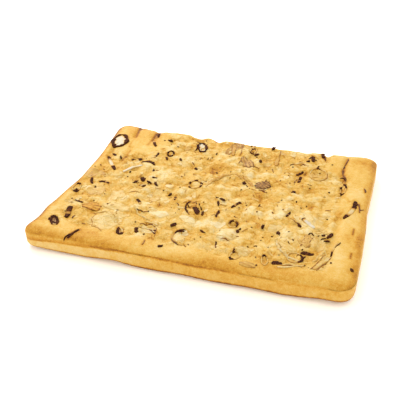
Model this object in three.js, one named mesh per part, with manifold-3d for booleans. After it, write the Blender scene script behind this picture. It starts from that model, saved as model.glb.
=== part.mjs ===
// Onion flatbread: one tray-baked sheet of soft dough with onion pressed into its top.
// Millimetres, +Z up. The origin is the middle of the flat underside. X runs along the
// long side, Y from the front edge to the back edge.
import * as THREE from 'three';
import { mergeVertices } from 'three/addons/utils/BufferGeometryUtils.js';
import Module from 'manifold-3d';

const wasm = await Module();
wasm.setup();

// ---------------------------------------------------------------- driving dimensions
const LENGTH = 400;
const WIDTH = 300;
const HALF_LENGTH = LENGTH / 2;
const HALF_WIDTH = WIDTH / 2;
const CORNER_RADIUS = 20;
const CROWN_HEIGHT = 29.2;
const CRUMB_HEIGHT = 24.5;
const SHOULDER_HEIGHT = 22.5;
const SHOULDER_REACH = 17;
const BACK_SHOULDER_EXTRA = 12;
const CREASE_HEIGHT = 19.8;
const BASE_LIFT = 2.8;
const BASE_REACH = 18;
const EDGE_WARP_REACH = 50;
const BASE_SINK = 0.8;
const SEAT_GAP = 0.3;
const FACET_TOLERANCE = 0.55;

const CELLS_LONG = 52;
const CELLS_WIDE = 40;
const GRID_EASE = 1.15;

// ---------------------------------------------------------------- small helpers
const clamp = THREE.MathUtils.clamp;
const lerp = THREE.MathUtils.lerp;
const smooth = (lo, hi, t) => THREE.MathUtils.smoothstep(t, lo, hi);
const radians = THREE.MathUtils.degToRad;

function swell(t, at, reach) {
  const away = Math.abs(t - at) / reach;
  return away < 1 ? 0.5 + 0.5 * Math.cos(Math.PI * away) : 0;
}

function blob(x, y, spot) {
  return Math.exp(-(((x - spot.x) / spot.rx) ** 2) - (((y - spot.y) / spot.ry) ** 2));
}

function scatter(i, j, k) {
  const value = Math.sin(i * 12.9898 + j * 78.233 + k * 37.719) * 43758.5453;
  return value - Math.floor(value);
}

// ---------------------------------------------------------------- outline seen from above
// Dents are how far the dough drew back from the tray's side, with a middle and a reach.
const LEFT_DENTS = [
  { at: -5, reach: 105, depth: 13.4 },
  { at: -78, reach: 45, depth: 3 },
  { at: 80, reach: 80, depth: 6.8 },
  { at: -115, reach: 30, depth: 5.4 },
  { at: -165, reach: 36, depth: -3 },
];
const RIGHT_DENTS = [
  { at: 10, reach: 40, depth: 1.2 },
  { at: -70, reach: 120, depth: -2 },
  { at: -170, reach: 40, depth: -3 },
  { at: 130, reach: 120, depth: -1.6 },
];
const FRONT_DENTS = [
  { at: 200, reach: 90, depth: 2.2 },
  { at: -120, reach: 30, depth: 1 },
  { at: -215, reach: 50, depth: -2 },
  { at: 215, reach: 50, depth: -2 },
];
const BACK_DENTS = [
  { at: -130, reach: 14, depth: 7 },
  { at: -63, reach: 13, depth: 7 },
  { at: -32, reach: 11, depth: 8 },
  { at: 70, reach: 210, depth: 10.5 },
  { at: 25, reach: 40, depth: 4 },
  { at: 62, reach: 13, depth: 3 },
  { at: 101, reach: 12, depth: 4 },
  { at: 131, reach: 9, depth: 7 },
  { at: -198, reach: 40, depth: -3 },
  { at: -145, reach: 16, depth: 3 },
  { at: -114, reach: 12, depth: 3 },
  { at: -73, reach: 9, depth: 5 },
  { at: -41, reach: 9, depth: 3 },
  { at: 88, reach: 30, depth: 2 },
];

const drawnBack = (dents, t) => dents.reduce((sum, dent) => sum + dent.depth * swell(t, dent.at, dent.reach), 0);
const hold = (distance) => clamp(1 - distance / EDGE_WARP_REACH, 0, 1) ** 2;

function shiftFromTray(x, y) {
  const inX = drawnBack(LEFT_DENTS, y) * hold(x + HALF_LENGTH) - drawnBack(RIGHT_DENTS, y) * hold(HALF_LENGTH - x);
  const inY = drawnBack(FRONT_DENTS, x) * hold(y + HALF_WIDTH) - drawnBack(BACK_DENTS, x) * hold(HALF_WIDTH - y);
  return [inX, inY];
}

// A place in the straight-sided tray that the dough now holds after drawing back.
function inTray(x, y) {
  let trayX = x;
  let trayY = y;
  for (let pass = 0; pass < 4; pass += 1) {
    const [inX, inY] = shiftFromTray(trayX, trayY);
    trayX = x - inX;
    trayY = y - inY;
  }
  return [trayX, trayY];
}

function edgeDistance(trayX, trayY) {
  const fromSide = HALF_LENGTH - Math.abs(trayX);
  const fromEnd = HALF_WIDTH - Math.abs(trayY);
  if (fromSide < CORNER_RADIUS && fromEnd < CORNER_RADIUS) {
    return CORNER_RADIUS - Math.hypot(CORNER_RADIUS - fromSide, CORNER_RADIUS - fromEnd);
  }
  return Math.min(fromSide, fromEnd);
}

// Maps a square of -1..1 to the rounded sheet, drawn in by an inset.
function onSheet(u, v, inset) {
  const halfX = HALF_LENGTH - inset;
  const halfY = HALF_WIDTH - inset;
  const radius = CORNER_RADIUS - inset;
  let x = Math.abs(u) * halfX;
  let y = Math.abs(v) * halfY;
  const pastX = x - (halfX - radius);
  const pastY = y - (halfY - radius);
  if (pastX > 0 && pastY > 0) {
    const pull = Math.max(pastX, pastY) / Math.hypot(pastX, pastY);
    x = halfX - radius + pastX * pull;
    y = halfY - radius + pastY * pull;
  }
  return [Math.sign(u) * x, Math.sign(v) * y];
}

// ---------------------------------------------------------------- relief of the top
// Smooth crust lies along the sides and over two broad patches; lumpy crumb lies inside.
const CRUST_PATCHES = [
  { x: -152, y: 112, rx: 52, ry: 48 },
  { x: 168, y: 112, rx: 36, ry: 36 },
];
const RAISED_CORNERS = [
  { x: -185, y: 140, rx: 42, ry: 34, rise: 2.8 },
  { x: 185, y: 138, rx: 40, ry: 32, rise: 1.8 },
  { x: -186, y: -136, rx: 34, ry: 24, rise: 0.8 },
];
const BUBBLES = [
  { x: -45, y: -72, rx: 19, ry: 13, rise: 4.6 },
  { x: -108, y: -92, rx: 27, ry: 20, rise: 4.2 },
  { x: -105, y: -50, rx: 22, ry: 17, rise: 4.4 },
  { x: 45, y: -88, rx: 18, ry: 12, rise: 4.2 },
  { x: 132, y: -20, rx: 17, ry: 15, rise: 4.0 },
  { x: 15, y: 6, rx: 26, ry: 20, rise: 4.8 },
  { x: -70, y: 20, rx: 24, ry: 18, rise: 4.6 },
  { x: -60, y: 72, rx: 22, ry: 20, rise: 4.2 },
  { x: 95, y: 10, rx: 24, ry: 18, rise: 4.4 },
  { x: 35, y: 56, rx: 18, ry: 13, rise: 4.0 },
];
const FURROWS = [
  { from: [-161, 150], to: [-159, 112], half: 4, depth: 2.2 },
  { from: [-130, 146], to: [-129, 112], half: 5, depth: 3.4 },
  { from: [-63, 146], to: [-60, 128], half: 5, depth: 3.4 },
  { from: [-32, 146], to: [-34, 128], half: 5, depth: 3.2 },
  { from: [131, 146], to: [134, 116], half: 4, depth: 3.0 },
  { from: [160, 146], to: [158, 84], half: 4, depth: 2.2 },
  { from: [158, 84], to: [164, 32], half: 4.5, depth: 2.6 },
  { from: [169, -22], to: [165, -112], half: 4.5, depth: 2.4 },
  { from: [-151, 80], to: [-150, 44], half: 3.5, depth: 1.8 },
  { from: [-176, 78], to: [-176, 50], half: 3.5, depth: 1.4 },
];
const POCKETS = [
  { x: -167, y: -121, rx: 9, ry: 9, rise: -2.8 },
  { x: -80.5, y: -117, rx: 7, ry: 8, rise: -2.8 },
  { x: -178, y: -42, rx: 7, ry: 11, rise: -2.2 },
  { x: 64.5, y: -126, rx: 7, ry: 9, rise: -2.2 },
  { x: 131, y: -109, rx: 8, ry: 9, rise: -2.2 },
  { x: 25, y: 85, rx: 14, ry: 11, rise: -1.4 },
  { x: 60, y: 31, rx: 10, ry: 11, rise: -1.6 },
];
const LUMP_PITCH = 25;
const LUMP_RISE = [2.6, 3.0];
const LUMP_RADIUS = [0.56, 0.3];
const LUMP_SHARPNESS = 3;

function dome(x, y, spot) {
  const away = ((x - spot.x) / spot.rx) ** 2 + ((y - spot.y) / spot.ry) ** 2;
  return away < 1 ? (spot.rise * (1 - away)) ** LUMP_SHARPNESS : 0;
}

function lumpAt(i, j) {
  const radius = LUMP_PITCH * (LUMP_RADIUS[0] + LUMP_RADIUS[1] * scatter(i, j, 2));
  return {
    x: (i + 0.5 + 0.6 * (scatter(i, j, 0) - 0.5)) * LUMP_PITCH,
    y: (j + 0.5 + 0.6 * (scatter(i, j, 1) - 0.5)) * LUMP_PITCH,
    rx: radius,
    ry: radius * (0.75 + 0.5 * scatter(i, j, 3)),
    rise: LUMP_RISE[0] + LUMP_RISE[1] * scatter(i, j, 4),
  };
}

function lumps(x, y) {
  const column = Math.floor(x / LUMP_PITCH);
  const row = Math.floor(y / LUMP_PITCH);
  let sum = BUBBLES.reduce((total, spot) => total + dome(x, y, spot), 0);
  for (let i = column - 1; i <= column + 1; i += 1) {
    for (let j = row - 1; j <= row + 1; j += 1) {
      sum += dome(x, y, lumpAt(i, j));
    }
  }
  return sum ** (1 / LUMP_SHARPNESS);
}

function furrowDepth(x, y) {
  return FURROWS.reduce((deepest, { from, to, half, depth }) => {
    const [runX, runY] = [to[0] - from[0], to[1] - from[1]];
    const along = clamp(((x - from[0]) * runX + (y - from[1]) * runY) / (runX ** 2 + runY ** 2), 0, 1);
    const away = Math.hypot(x - from[0] - along * runX, y - from[1] - along * runY);
    return Math.max(deepest, depth * Math.exp(-((away / half) ** 2)));
  }, 0);
}

// 1 on smooth crust, 0 on lumpy crumb.
function crustShare(trayX, trayY) {
  const frontRim = lerp(31, 22, smooth(-120, -20, trayX)) + 2.5 * Math.sin(trayX / 9);
  const rims = [
    [trayX + HALF_LENGTH, 22 + 4 * Math.sin(trayY / 17)],
    [HALF_LENGTH - trayX, 34 + 2 * Math.sin(trayY / 13)],
    [trayY + HALF_WIDTH, frontRim],
    [HALF_WIDTH - trayY, 9],
  ];
  const alongSides = rims.map(([distance, rim]) => 1 - smooth(rim - 7, rim + 7, distance));
  const patches = CRUST_PATCHES.map((patch) => {
    const away = Math.hypot((trayX - patch.x) / patch.rx, (trayY - patch.y) / patch.ry);
    return 1 - smooth(0.8, 1.15, away);
  });
  return Math.max(...alongSides, ...patches);
}

function topHeight(x, y) {
  const [trayX, trayY] = inTray(x, y);
  const inset = Math.max(edgeDistance(trayX, trayY), 0);
  const share = crustShare(trayX, trayY);
  const raised = RAISED_CORNERS.reduce((sum, corner) => sum + corner.rise * blob(x, y, corner), 0);
  const waves = 0.6 * Math.sin(x / 19) * Math.cos(y / 23) + 0.4 * Math.sin(y / 11 + x / 31);
  const crust = CROWN_HEIGHT + raised + waves - 1.6 * smooth(18, 55, inset);
  const crumb = CRUMB_HEIGHT + lumps(x, y);
  const pockets = POCKETS.reduce((sum, pocket) => sum + pocket.rise * blob(x, y, pocket), 0);
  const open = lerp(crumb, crust, share) + pockets - furrowDepth(x, y);
  const reach = SHOULDER_REACH + BACK_SHOULDER_EXTRA * smooth(90, 150, y);
  const past = clamp(1 - inset / reach, 0, 1);
  return lerp(SHOULDER_HEIGHT, open, Math.sqrt(1 - past ** 2));
}

// ---------------------------------------------------------------- wall and underside
function creaseHeight(x, y) {
  const leftCorner = blob(x, y, { x: -200, y: -150, rx: 60, ry: 60 });
  const rightCorner = blob(x, y, { x: 190, y: -150, rx: 50, ry: 60 });
  return CREASE_HEIGHT - 5 * leftCorner + 1.4 * rightCorner + 0.9 * Math.sin(x / 21 + y / 17);
}

function creaseDepth(x, y) {
  return 1.2 - 1.1 * smooth(-60, 150, x + 0.4 * y);
}

function baseLift(x, y) {
  const leftCorner = blob(x, y, { x: -196, y: -150, rx: 24, ry: 30 });
  const rightCorner = blob(x, y, { x: 200, y: -150, rx: 48, ry: 40 });
  const frontRise = swell(x, -82, 38) * smooth(-110, -140, y);
  return BASE_LIFT + 3 * leftCorner + 3 * rightCorner + 2.3 * frontRise + 0.5 * Math.sin(x / 13 + y / 29);
}

// Rings of the wall from the top's edge down to the base: inset from the outline and height.
const WALL_RINGS = [
  () => [1.4, null],
  () => [0.2, SHOULDER_HEIGHT],
  (x, y) => [creaseDepth(x, y) + 0.2, creaseHeight(x, y) + 0.4],
  (x, y) => [0.1, creaseHeight(x, y) - 4.5],
  () => [0.3, 8.5],
  (x, y) => [3.4, baseLift(x, y)],
];
const TOP_INSET = WALL_RINGS[0]()[0];
const BASE_INSET = WALL_RINGS.at(-1)(0, 0)[0];

function drawnBackFrom([trayX, trayY]) {
  const [inX, inY] = shiftFromTray(trayX, trayY);
  return [trayX + inX, trayY + inY];
}

function sheetVertex(point) {
  const u = Math.sin(GRID_EASE * point.x) / Math.sin(GRID_EASE);
  const v = Math.sin(GRID_EASE * point.y) / Math.sin(GRID_EASE);
  const ring = Math.round(((1 - point.z) / 2) * (WALL_RINGS.length - 1));
  if (ring === 0) {
    const [x, y] = drawnBackFrom(onSheet(u, v, TOP_INSET));
    return [x, y, topHeight(x, y)];
  }
  if (ring === WALL_RINGS.length - 1) {
    const tray = onSheet(u, v, BASE_INSET);
    const [x, y] = drawnBackFrom(tray);
    const lifted = 1 - smooth(BASE_INSET, BASE_REACH, edgeDistance(...tray));
    return [x, y, (baseLift(x, y) + BASE_SINK) * lifted - BASE_SINK];
  }
  const [inset, height] = WALL_RINGS[ring](...onSheet(u, v, 0));
  const [x, y] = drawnBackFrom(onSheet(u, v, inset));
  return [x, y, height];
}

// ---------------------------------------------------------------- solids from geometries
function bent(geometry, toPlace) {
  geometry.deleteAttribute('normal');
  geometry.deleteAttribute('uv');
  const welded = mergeVertices(geometry, 1e-5);
  const position = welded.attributes.position;
  const point = new THREE.Vector3();
  for (let i = 0; i < position.count; i += 1) {
    point.fromBufferAttribute(position, i);
    position.setXYZ(i, ...toPlace(point));
  }
  return welded;
}

function solidOf(geometry) {
  const mesh = new wasm.Mesh({
    numProp: 3,
    vertProperties: Float32Array.from(geometry.attributes.position.array),
    triVerts: Uint32Array.from(geometry.index.array),
  });
  return new wasm.Manifold(mesh);
}

function geometryOf(solid) {
  const { vertProperties, triVerts } = solid.getMesh();
  const geometry = new THREE.BufferGeometry();
  geometry.setAttribute('position', new THREE.BufferAttribute(Float32Array.from(vertProperties), 3));
  geometry.setIndex(new THREE.BufferAttribute(Uint32Array.from(triVerts), 1));
  geometry.computeVertexNormals();
  return geometry;
}

// ---------------------------------------------------------------- onion
// Each ribbon is an arc that lies on the top: the middle of its length, its length,
// its heading there and how far it turns in degrees, and its width.
const RIBBON_THICKNESS = 2.4;
const RIBBON_STEP = 7.5;
const RIBBONS = [
  { name: 'ribbon_back_left_pale', at: [-161, 30], length: 44, heading: -53, turn: 6, width: 5 },
  { name: 'ribbon_back_left_hook', at: [-127, 25], length: 32, heading: 54, turn: -60, width: 5 },
  { name: 'ribbon_back_left_cap', at: [-109, 47], length: 23, heading: -6, turn: -95, width: 5 },
  { name: 'ribbon_back_left_thread', at: [-104, 65], length: 18, heading: -88, turn: -36, width: 3 },
  { name: 'ribbon_below_ring', at: [-89.5, 64], length: 17, heading: -64, turn: 0, width: 3 },
  { name: 'ribbon_rim_notch', at: [-126, 128], length: 16, heading: -74, turn: 0, width: 4.4 },
  { name: 'ribbon_below_notch', at: [-124, 103], length: 22, heading: -58, turn: 6, width: 4 },
  { name: 'ribbon_back_brown', at: [-3, 116], length: 38, heading: -78, turn: 0, width: 6 },
  { name: 'ribbon_back_amber', at: [65, 97], length: 22, heading: -84, turn: 10, width: 6 },
  { name: 'ribbon_back_right_dark', at: [124.5, 133], length: 15, heading: -76, turn: 0, width: 5.4 },
  { name: 'ribbon_tangle', at: [113, 115], length: 16, heading: -78, turn: 10, width: 5.4 },
  { name: 'ribbon_back_right_arch', at: [97, 101], length: 34, heading: 2, turn: -150, width: 3 },
  { name: 'ribbon_right_tick', at: [102, 75.5], length: 12, heading: 52, turn: 0, width: 4 },
  { name: 'ribbon_right_stroke', at: [105, 58], length: 17, heading: -94, turn: 0, width: 4.2 },
  { name: 'ribbon_right_rim', at: [181.5, -1], length: 42, heading: -104, turn: -44, width: 5.6 },
  { name: 'ribbon_left_tick', at: [-166, -22], length: 17, heading: -62, turn: 35, width: 3.4 },
  { name: 'ribbon_left_arch', at: [-147, -20.5], length: 15, heading: -8, turn: -30, width: 3.6 },
  { name: 'ribbon_left_thread', at: [-159, -72], length: 15, heading: -18, turn: 0, width: 2.6 },
  { name: 'ribbon_left_char', at: [-160, -98], length: 22, heading: -80, turn: 0, width: 7 },
  { name: 'ribbon_front_left_comma', at: [-83, -52], length: 15, heading: -50, turn: -30, width: 4 },
  { name: 'ribbon_middle_loop', at: [-21, -49], length: 38, heading: -74, turn: 75, width: 2.4 },
  { name: 'ribbon_middle_char', at: [-6.5, -51.5], length: 20, heading: -60, turn: 0, width: 6.6 },
  { name: 'ribbon_middle_left_thread', at: [-41, -32], length: 15, heading: -75, turn: 0, width: 2.8 },
  { name: 'ribbon_front_arch', at: [-48, -101.8], length: 22, heading: -16, turn: -55, width: 3.4 },
  { name: 'ribbon_front_arch_start', at: [-63, -109.5], length: 12, heading: -68, turn: 0, width: 4 },
  { name: 'ribbon_front_upper_arch', at: [-49, -92.5], length: 21, heading: -18, turn: -40, width: 2.8 },
  { name: 'ribbon_front_rim', at: [-131.5, -139], length: 18, heading: -118, turn: 0, width: 3.2 },
  { name: 'ribbon_left_middle_char', at: [-101, 4], length: 11, heading: -52, turn: 0, width: 6 },
  { name: 'ribbon_left_middle_pale', at: [-94.5, -13.5], length: 13, heading: -45, turn: 0, width: 6 },
  { name: 'ribbon_middle_right_stroke', at: [39, -26.5], length: 17, heading: -118, turn: 0, width: 4.4 },
  { name: 'ribbon_middle_right_thread', at: [22.3, -52], length: 15, heading: -88, turn: 0, width: 3.2 },
  { name: 'ribbon_right_middle_pale', at: [133.5, -42], length: 24, heading: -42, turn: 0, width: 5 },
  { name: 'ribbon_right_middle_thread', at: [106.5, -28.5], length: 14, heading: -104, turn: 0, width: 2.8 },
  { name: 'ribbon_right_char', at: [162.3, -59], length: 13, heading: -112, turn: 0, width: 4.4 },
  { name: 'ribbon_right_long_top', at: [169.5, -84], length: 26, heading: -98, turn: 30, width: 2.6 },
  { name: 'ribbon_right_long', at: [161, -114], length: 28, heading: -117, turn: -10, width: 6 },
  { name: 'ribbon_front_right_bar', at: [113.6, -127.6], length: 12.4, heading: 18, turn: 0, width: 5.6 },
  { name: 'ribbon_front_right_strip', at: [130.5, -129.5], length: 33, heading: 30, turn: 52, width: 3 },
  { name: 'ribbon_front_right_char', at: [142, -96.8], length: 15, heading: -4, turn: -10, width: 5.2 },
  { name: 'ribbon_front_ring', at: [-17, -108], length: 40, heading: -90, turn: 160, width: 2.4 },
];

// Rings are whole slices that lie flat: half-axes of their middle line, turn and width.
const RING_THICKNESS = 2.6;
const RINGS = [
  { name: 'ring_back_left', at: [-89, 80], half: [4.2, 5.2], turn: 0, width: 3 },
  { name: 'ring_back', at: [25, 120], half: [4.4, 8.6], turn: 0, width: 2.8 },
  { name: 'ring_back_right', at: [126.5, 75], half: [11.5, 16.5], turn: 0, width: 3 },
  { name: 'ring_right_rim', at: [164, 49], half: [3.4, 11], turn: 0, width: 3 },
  { name: 'ring_left', at: [-178, -42], half: [4.4, 9.6], turn: 4, width: 3 },
  { name: 'ring_middle', at: [-26, 5], half: [8.6, 8.6], turn: 0, width: 3.2 },
  { name: 'ring_middle_right', at: [46.5, -67], half: [5, 7.4], turn: 0, width: 3 },
  { name: 'ring_front_right', at: [130, -109], half: [8.4, 9.4], turn: 0, width: 3 },
  { name: 'ring_front_narrow', at: [99, -125], half: [3.6, 10], turn: 14, width: 2.6 },
  { name: 'ring_front_pocket', at: [64.5, -126], half: [5.4, 8], turn: 0, width: 2.8 },
  { name: 'ring_left_pocket', at: [-167, -121], half: [10.4, 4], turn: -54, width: 3.6 },
  { name: 'ring_front_left_pocket', at: [-80.6, -117.5], half: [6, 2.9], turn: -64, width: 4.8 },
];

// Cups are end slices: a charred rim round a pale hollow.
const CUPS = [
  { name: 'cup_back_left', at: [-175, 92], half: [13.5, 20], turn: 13 },
  { name: 'cup_back', at: [-50, 109], half: [7.6, 19], turn: 24 },
];

// Petals are soft outer layers lying flush in the dough.
const PETALS = [
  { name: 'petal_back', at: [25, 85], half: [17, 7.5], turn: -52 },
  { name: 'petal_middle_right', at: [60, 31], half: [10, 12], turn: -20 },
  { name: 'petal_right', at: [138.5, -77], half: [6.5, 12.5], turn: 4 },
  { name: 'petal_front_right', at: [83, -138.5], half: [10, 4], turn: -4 },
  { name: 'petal_left', at: [-137, -78], half: [13, 8], turn: 6 },
];

function along({ at, length, heading, turn }, distance) {
  const lead = radians(heading);
  const bend = radians(turn) / length;
  if (Math.abs(bend) < 1e-6) {
    return { x: at[0] + distance * Math.cos(lead), y: at[1] + distance * Math.sin(lead), lead };
  }
  const now = lead + bend * distance;
  return {
    x: at[0] + (Math.sin(now) - Math.sin(lead)) / bend,
    y: at[1] - (Math.cos(now) - Math.cos(lead)) / bend,
    lead: now,
  };
}

function ribbonGeometry(ribbon, margin) {
  const steps = Math.max(2, Math.round(ribbon.length / RIBBON_STEP));
  return bent(new THREE.BoxGeometry(1, 1, 1, steps, 1, 1), (point) => {
    const reach = ribbon.length * point.x + Math.sign(point.x) * (Math.abs(point.x) > 0.49 ? margin : 0);
    const { x, y, lead } = along(ribbon, reach);
    const taper = 1 - 0.35 * (2 * point.x) ** 4;
    const aside = 2 * point.y * ((ribbon.width / 2) * taper + margin);
    const lift = 2 * point.z * (RIBBON_THICKNESS / 2 + margin);
    return [x - aside * Math.sin(lead), y + aside * Math.cos(lead), topHeight(x, y) + lift];
  });
}

function turned({ at, turn }, x, y) {
  const angle = radians(turn);
  return [
    at[0] + x * Math.cos(angle) - y * Math.sin(angle),
    at[1] + x * Math.sin(angle) + y * Math.cos(angle),
  ];
}

function ringGeometry(ring, margin) {
  const around = Math.round(clamp(ring.half[0] + ring.half[1], 9, 12));
  return bent(new THREE.TorusGeometry(2, 1, 4, around), (point) => {
    const far = Math.hypot(point.x, point.y);
    const out = (far - 2) * (ring.width / 2 + margin);
    const x = (point.x / far) * (ring.half[0] + out);
    const y = (point.y / far) * (ring.half[1] + out);
    const [middleX, middleY] = turned(ring, (point.x / far) * ring.half[0], (point.y / far) * ring.half[1]);
    return [...turned(ring, x, y), topHeight(middleX, middleY) + point.z * (RING_THICKNESS / 2 + margin)];
  });
}

// Section of a cup from the middle of its underside, out over the rim and in to its floor.
function cupGeometry(cup, margin) {
  const rimWide = 3.6;
  const section = [
    [0, -1.4 - margin],
    [-rimWide, -1.4 - margin],
    [margin, -0.2],
    [margin, 1.4],
    [-rimWide / 2, 1.9 + margin],
    [-rimWide, 0.6 + margin],
    [0, 0.2 + margin],
  ];
  const profile = section.map(([out, up], i) => {
    const onAxis = i === 0 || i === section.length - 1;
    return new THREE.Vector2(onAxis ? 0 : 100 + out, up);
  });
  return bent(new THREE.LatheGeometry(profile, 14), (point) => {
    const far = Math.hypot(point.x, point.z);
    if (far < 1e-3) {
      return [...cup.at, topHeight(...cup.at) + point.y];
    }
    const [cos, sin] = [point.x / far, -point.z / far];
    const [x, y] = turned(cup, cos * (cup.half[0] + far - 100), sin * (cup.half[1] + far - 100));
    return [x, y, topHeight(x, y) + point.y];
  });
}

// Section of a petal from the middle of its underside to the middle of its top.
const PETAL_SECTION = [[0, -0.9], [0.6, -0.8], [1, -0.35], [1, 0.35], [0.6, 0.8], [0, 0.9]];

function petalGeometry(petal, margin) {
  const profile = PETAL_SECTION.map(([out, up]) => new THREE.Vector2(out, up));
  return bent(new THREE.LatheGeometry(profile, 9), (point) => {
    const bed = topHeight(...turned(petal, point.x * petal.half[0], -point.z * petal.half[1]));
    const place = turned(petal, point.x * (petal.half[0] + margin), -point.z * (petal.half[1] + margin));
    const wave = 0.5 * Math.sin(4 * point.x) * point.z;
    return [...place, bed + wave + point.y + Math.sign(point.y) * margin];
  });
}

// ---------------------------------------------------------------- small charred flakes
// Each flake: x, y, heading, length and width.
const FLAKE_RISE = 1.1;
const FLAKES = [
  [-155, 50, -60, 9, 3.2], [-165.5, 53.5, -36, 12, 4], [-137, 53, 0, 9, 4], [-127, 55, -60, 7.5, 5.5],
  [-102.5, 115, -10, 9, 5.4], [-67, 62, -60, 7.5, 3.4], [-40, 50, -45, 6, 4], [43, 88, -75, 7.5, 4.6],
  [33, 111, 40, 9, 4], [52, 135, 80, 9, 5], [108, 105, 40, 6, 4], [-95, 28, -72, 10, 3.4],
  [-85, 7, -8, 8, 3], [-89, -3, -25, 9, 3], [-79.5, -4, -50, 12, 4], [-107.5, -8.5, -107, 12, 3.4],
  [-52, -21, 70, 9, 3.4], [-22, -90, 50, 9, 5.6], [-22, -134, 20, 6.5, 4], [35, 29.5, -70, 7, 5],
  [103, 23, -80, 8.5, 6.2], [19, -20, -22, 9, 3.6], [16, -28.5, -68, 11, 3], [124, -48, -55, 8.5, 4],
  [15.5, -92, -35, 9, 2.8], [55, -80, -100, 8, 4.6], [103, -70, -60, 7, 5], [82, -62, -90, 9, 3.6],
  [155.2, -61, -8, 5.4, 2.8], [160, -69.5, 8, 7, 2.8], [194, -116.5, -70, 6, 3.8], [3.4, -55, -84, 10, 3.2],
];

function flakeGeometry([x, y, heading, length, width]) {
  const spot = { at: [x, y], turn: heading };
  return bent(new THREE.IcosahedronGeometry(1, 0), (point) => {
    const place = turned(spot, (point.x * length) / 2, (point.y * width) / 2);
    return [...place, topHeight(...place) + 0.3 + point.z * FLAKE_RISE];
  });
}

// ---------------------------------------------------------------- the whole flatbread
const flatbread = new THREE.Group();

function addNode(name, geometry, color, roughness) {
  const material = new THREE.MeshStandardMaterial({ color, roughness, metalness: 0 });
  const mesh = new THREE.Mesh(geometry, material);
  mesh.name = name;
  flatbread.add(mesh);
}

const onionKinds = [
  { pieces: RIBBONS, shape: ribbonGeometry, color: '#b98a4a' },
  { pieces: RINGS, shape: ringGeometry, color: '#c79b58' },
  { pieces: CUPS, shape: cupGeometry, color: '#4a2a1c' },
  { pieces: PETALS, shape: petalGeometry, color: '#c0945c' },
];

const dough = new THREE.BoxGeometry(2, 2, 2, CELLS_LONG, CELLS_WIDE, WALL_RINGS.length - 1);
const aboveFloor = new THREE.BoxGeometry(2 * LENGTH, 2 * WIDTH, 2 * LENGTH);
let bread = solidOf(bent(dough, sheetVertex)).simplify(FACET_TOLERANCE);
bread = bread.intersect(solidOf(bent(aboveFloor, (point) => [point.x, point.y, point.z + LENGTH])));
FLAKES.forEach((flake) => {
  bread = bread.add(solidOf(flakeGeometry(flake)));
});

onionKinds.forEach(({ pieces, shape, color }) => {
  pieces.forEach((piece) => {
    bread = bread.subtract(solidOf(shape(piece, SEAT_GAP)));
    addNode(`onion_${piece.name}`, shape(piece, 0), color, 0.45);
  });
});

// Cutting the seats can leave a crumb loose above one; the sheet itself is the largest body.
const sheet = bread.decompose().reduce((largest, body) => (body.volume() > largest.volume() ? body : largest));
addNode('bread', geometryOf(sheet), '#e8bd72', 0.7);

export default flatbread;
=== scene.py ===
# %% [markdown]
# # Onion flatbread
# A sheet of soft wheat dough baked in a tray, with sliced onion pressed into its top. The frame holds the
# plain solids at their real size. This lesson dresses them: a fine skin of crust with its lumps, furrows
# and browning, and the onion as ribbons, rings, cups and petals with burnt tips. Everything is worked out
# in millimetres in the frame's own axes and turned to metres once, when a mesh is made.

# %% Load the frame
import math
from collections import namedtuple
import bpy
import numpy as np
from mathutils import Matrix, Vector


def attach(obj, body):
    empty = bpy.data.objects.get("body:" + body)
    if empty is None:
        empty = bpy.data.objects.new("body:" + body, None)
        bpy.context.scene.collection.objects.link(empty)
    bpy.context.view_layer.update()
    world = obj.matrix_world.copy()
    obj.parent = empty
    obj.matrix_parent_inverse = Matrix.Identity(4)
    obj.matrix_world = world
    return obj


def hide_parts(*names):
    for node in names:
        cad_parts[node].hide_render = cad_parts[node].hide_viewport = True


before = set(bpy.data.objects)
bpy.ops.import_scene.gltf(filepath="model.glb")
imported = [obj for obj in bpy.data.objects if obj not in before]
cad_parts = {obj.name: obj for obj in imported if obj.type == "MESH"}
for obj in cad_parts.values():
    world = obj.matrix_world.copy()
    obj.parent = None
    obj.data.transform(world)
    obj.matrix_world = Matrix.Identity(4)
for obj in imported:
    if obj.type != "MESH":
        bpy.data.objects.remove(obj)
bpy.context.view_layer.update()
METRE = 0.001

# %% [markdown]
# ## Small rules for shapes
# Bread has no straight lines, so every form is a sum of a few soft ones. A smooth step blends two levels, a
# swell is one soft bump along a line, a blob is one over an area. The scatter rule gives each lump its own
# size and place. It is a plain formula and not a random draw, so the same lump comes out every time and the
# fine skin here has the same lumps as the solid below it.

# %% Helpers for soft forms
def smooth(low, high, value):
    share = np.clip((value - low) / (high - low), 0.0, 1.0)
    return share * share * (3.0 - 2.0 * share)


def swell(value, at, reach):
    away = np.minimum(np.abs(value - at) / reach, 1.0)
    return 0.5 + 0.5 * np.cos(np.pi * away)


def blob(x, y, spot):
    at_x, at_y, reach_x, reach_y = spot[:4]
    return np.exp(-(((x - at_x) / reach_x) ** 2) - ((y - at_y) / reach_y) ** 2)


def scatter(i, j, k):
    """A number of 0 to 1 that looks drawn at random but is the same each time for the same three."""
    value = np.sin(i * 12.9898 + j * 78.233 + k * 37.719) * 43758.5453
    return value - np.floor(value)


def ripple(x, y, pitch, kind):
    """Smooth noise of -1 to 1 with bumps about one pitch wide."""
    column, row = np.floor(x / pitch), np.floor(y / pitch)
    across, up = smooth(0.0, 1.0, x / pitch - column), smooth(0.0, 1.0, y / pitch - row)
    low = scatter(column, row, kind) * (1 - across) + scatter(column + 1, row, kind) * across
    high = scatter(column, row + 1, kind) * (1 - across) + scatter(column + 1, row + 1, kind) * across
    return 2.0 * (low * (1 - up) + high * up) - 1.0


def ripples(x, y, waves):
    """Several sizes of ripple added up: each has a strength, a pitch in mm and a kind."""
    return sum(strength * ripple(x, y, pitch, kind) for strength, pitch, kind in waves)


print("a ripple at the middle of the sheet:", round(float(ripple(0.0, 0.0, 19, 71)), 2))

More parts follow.
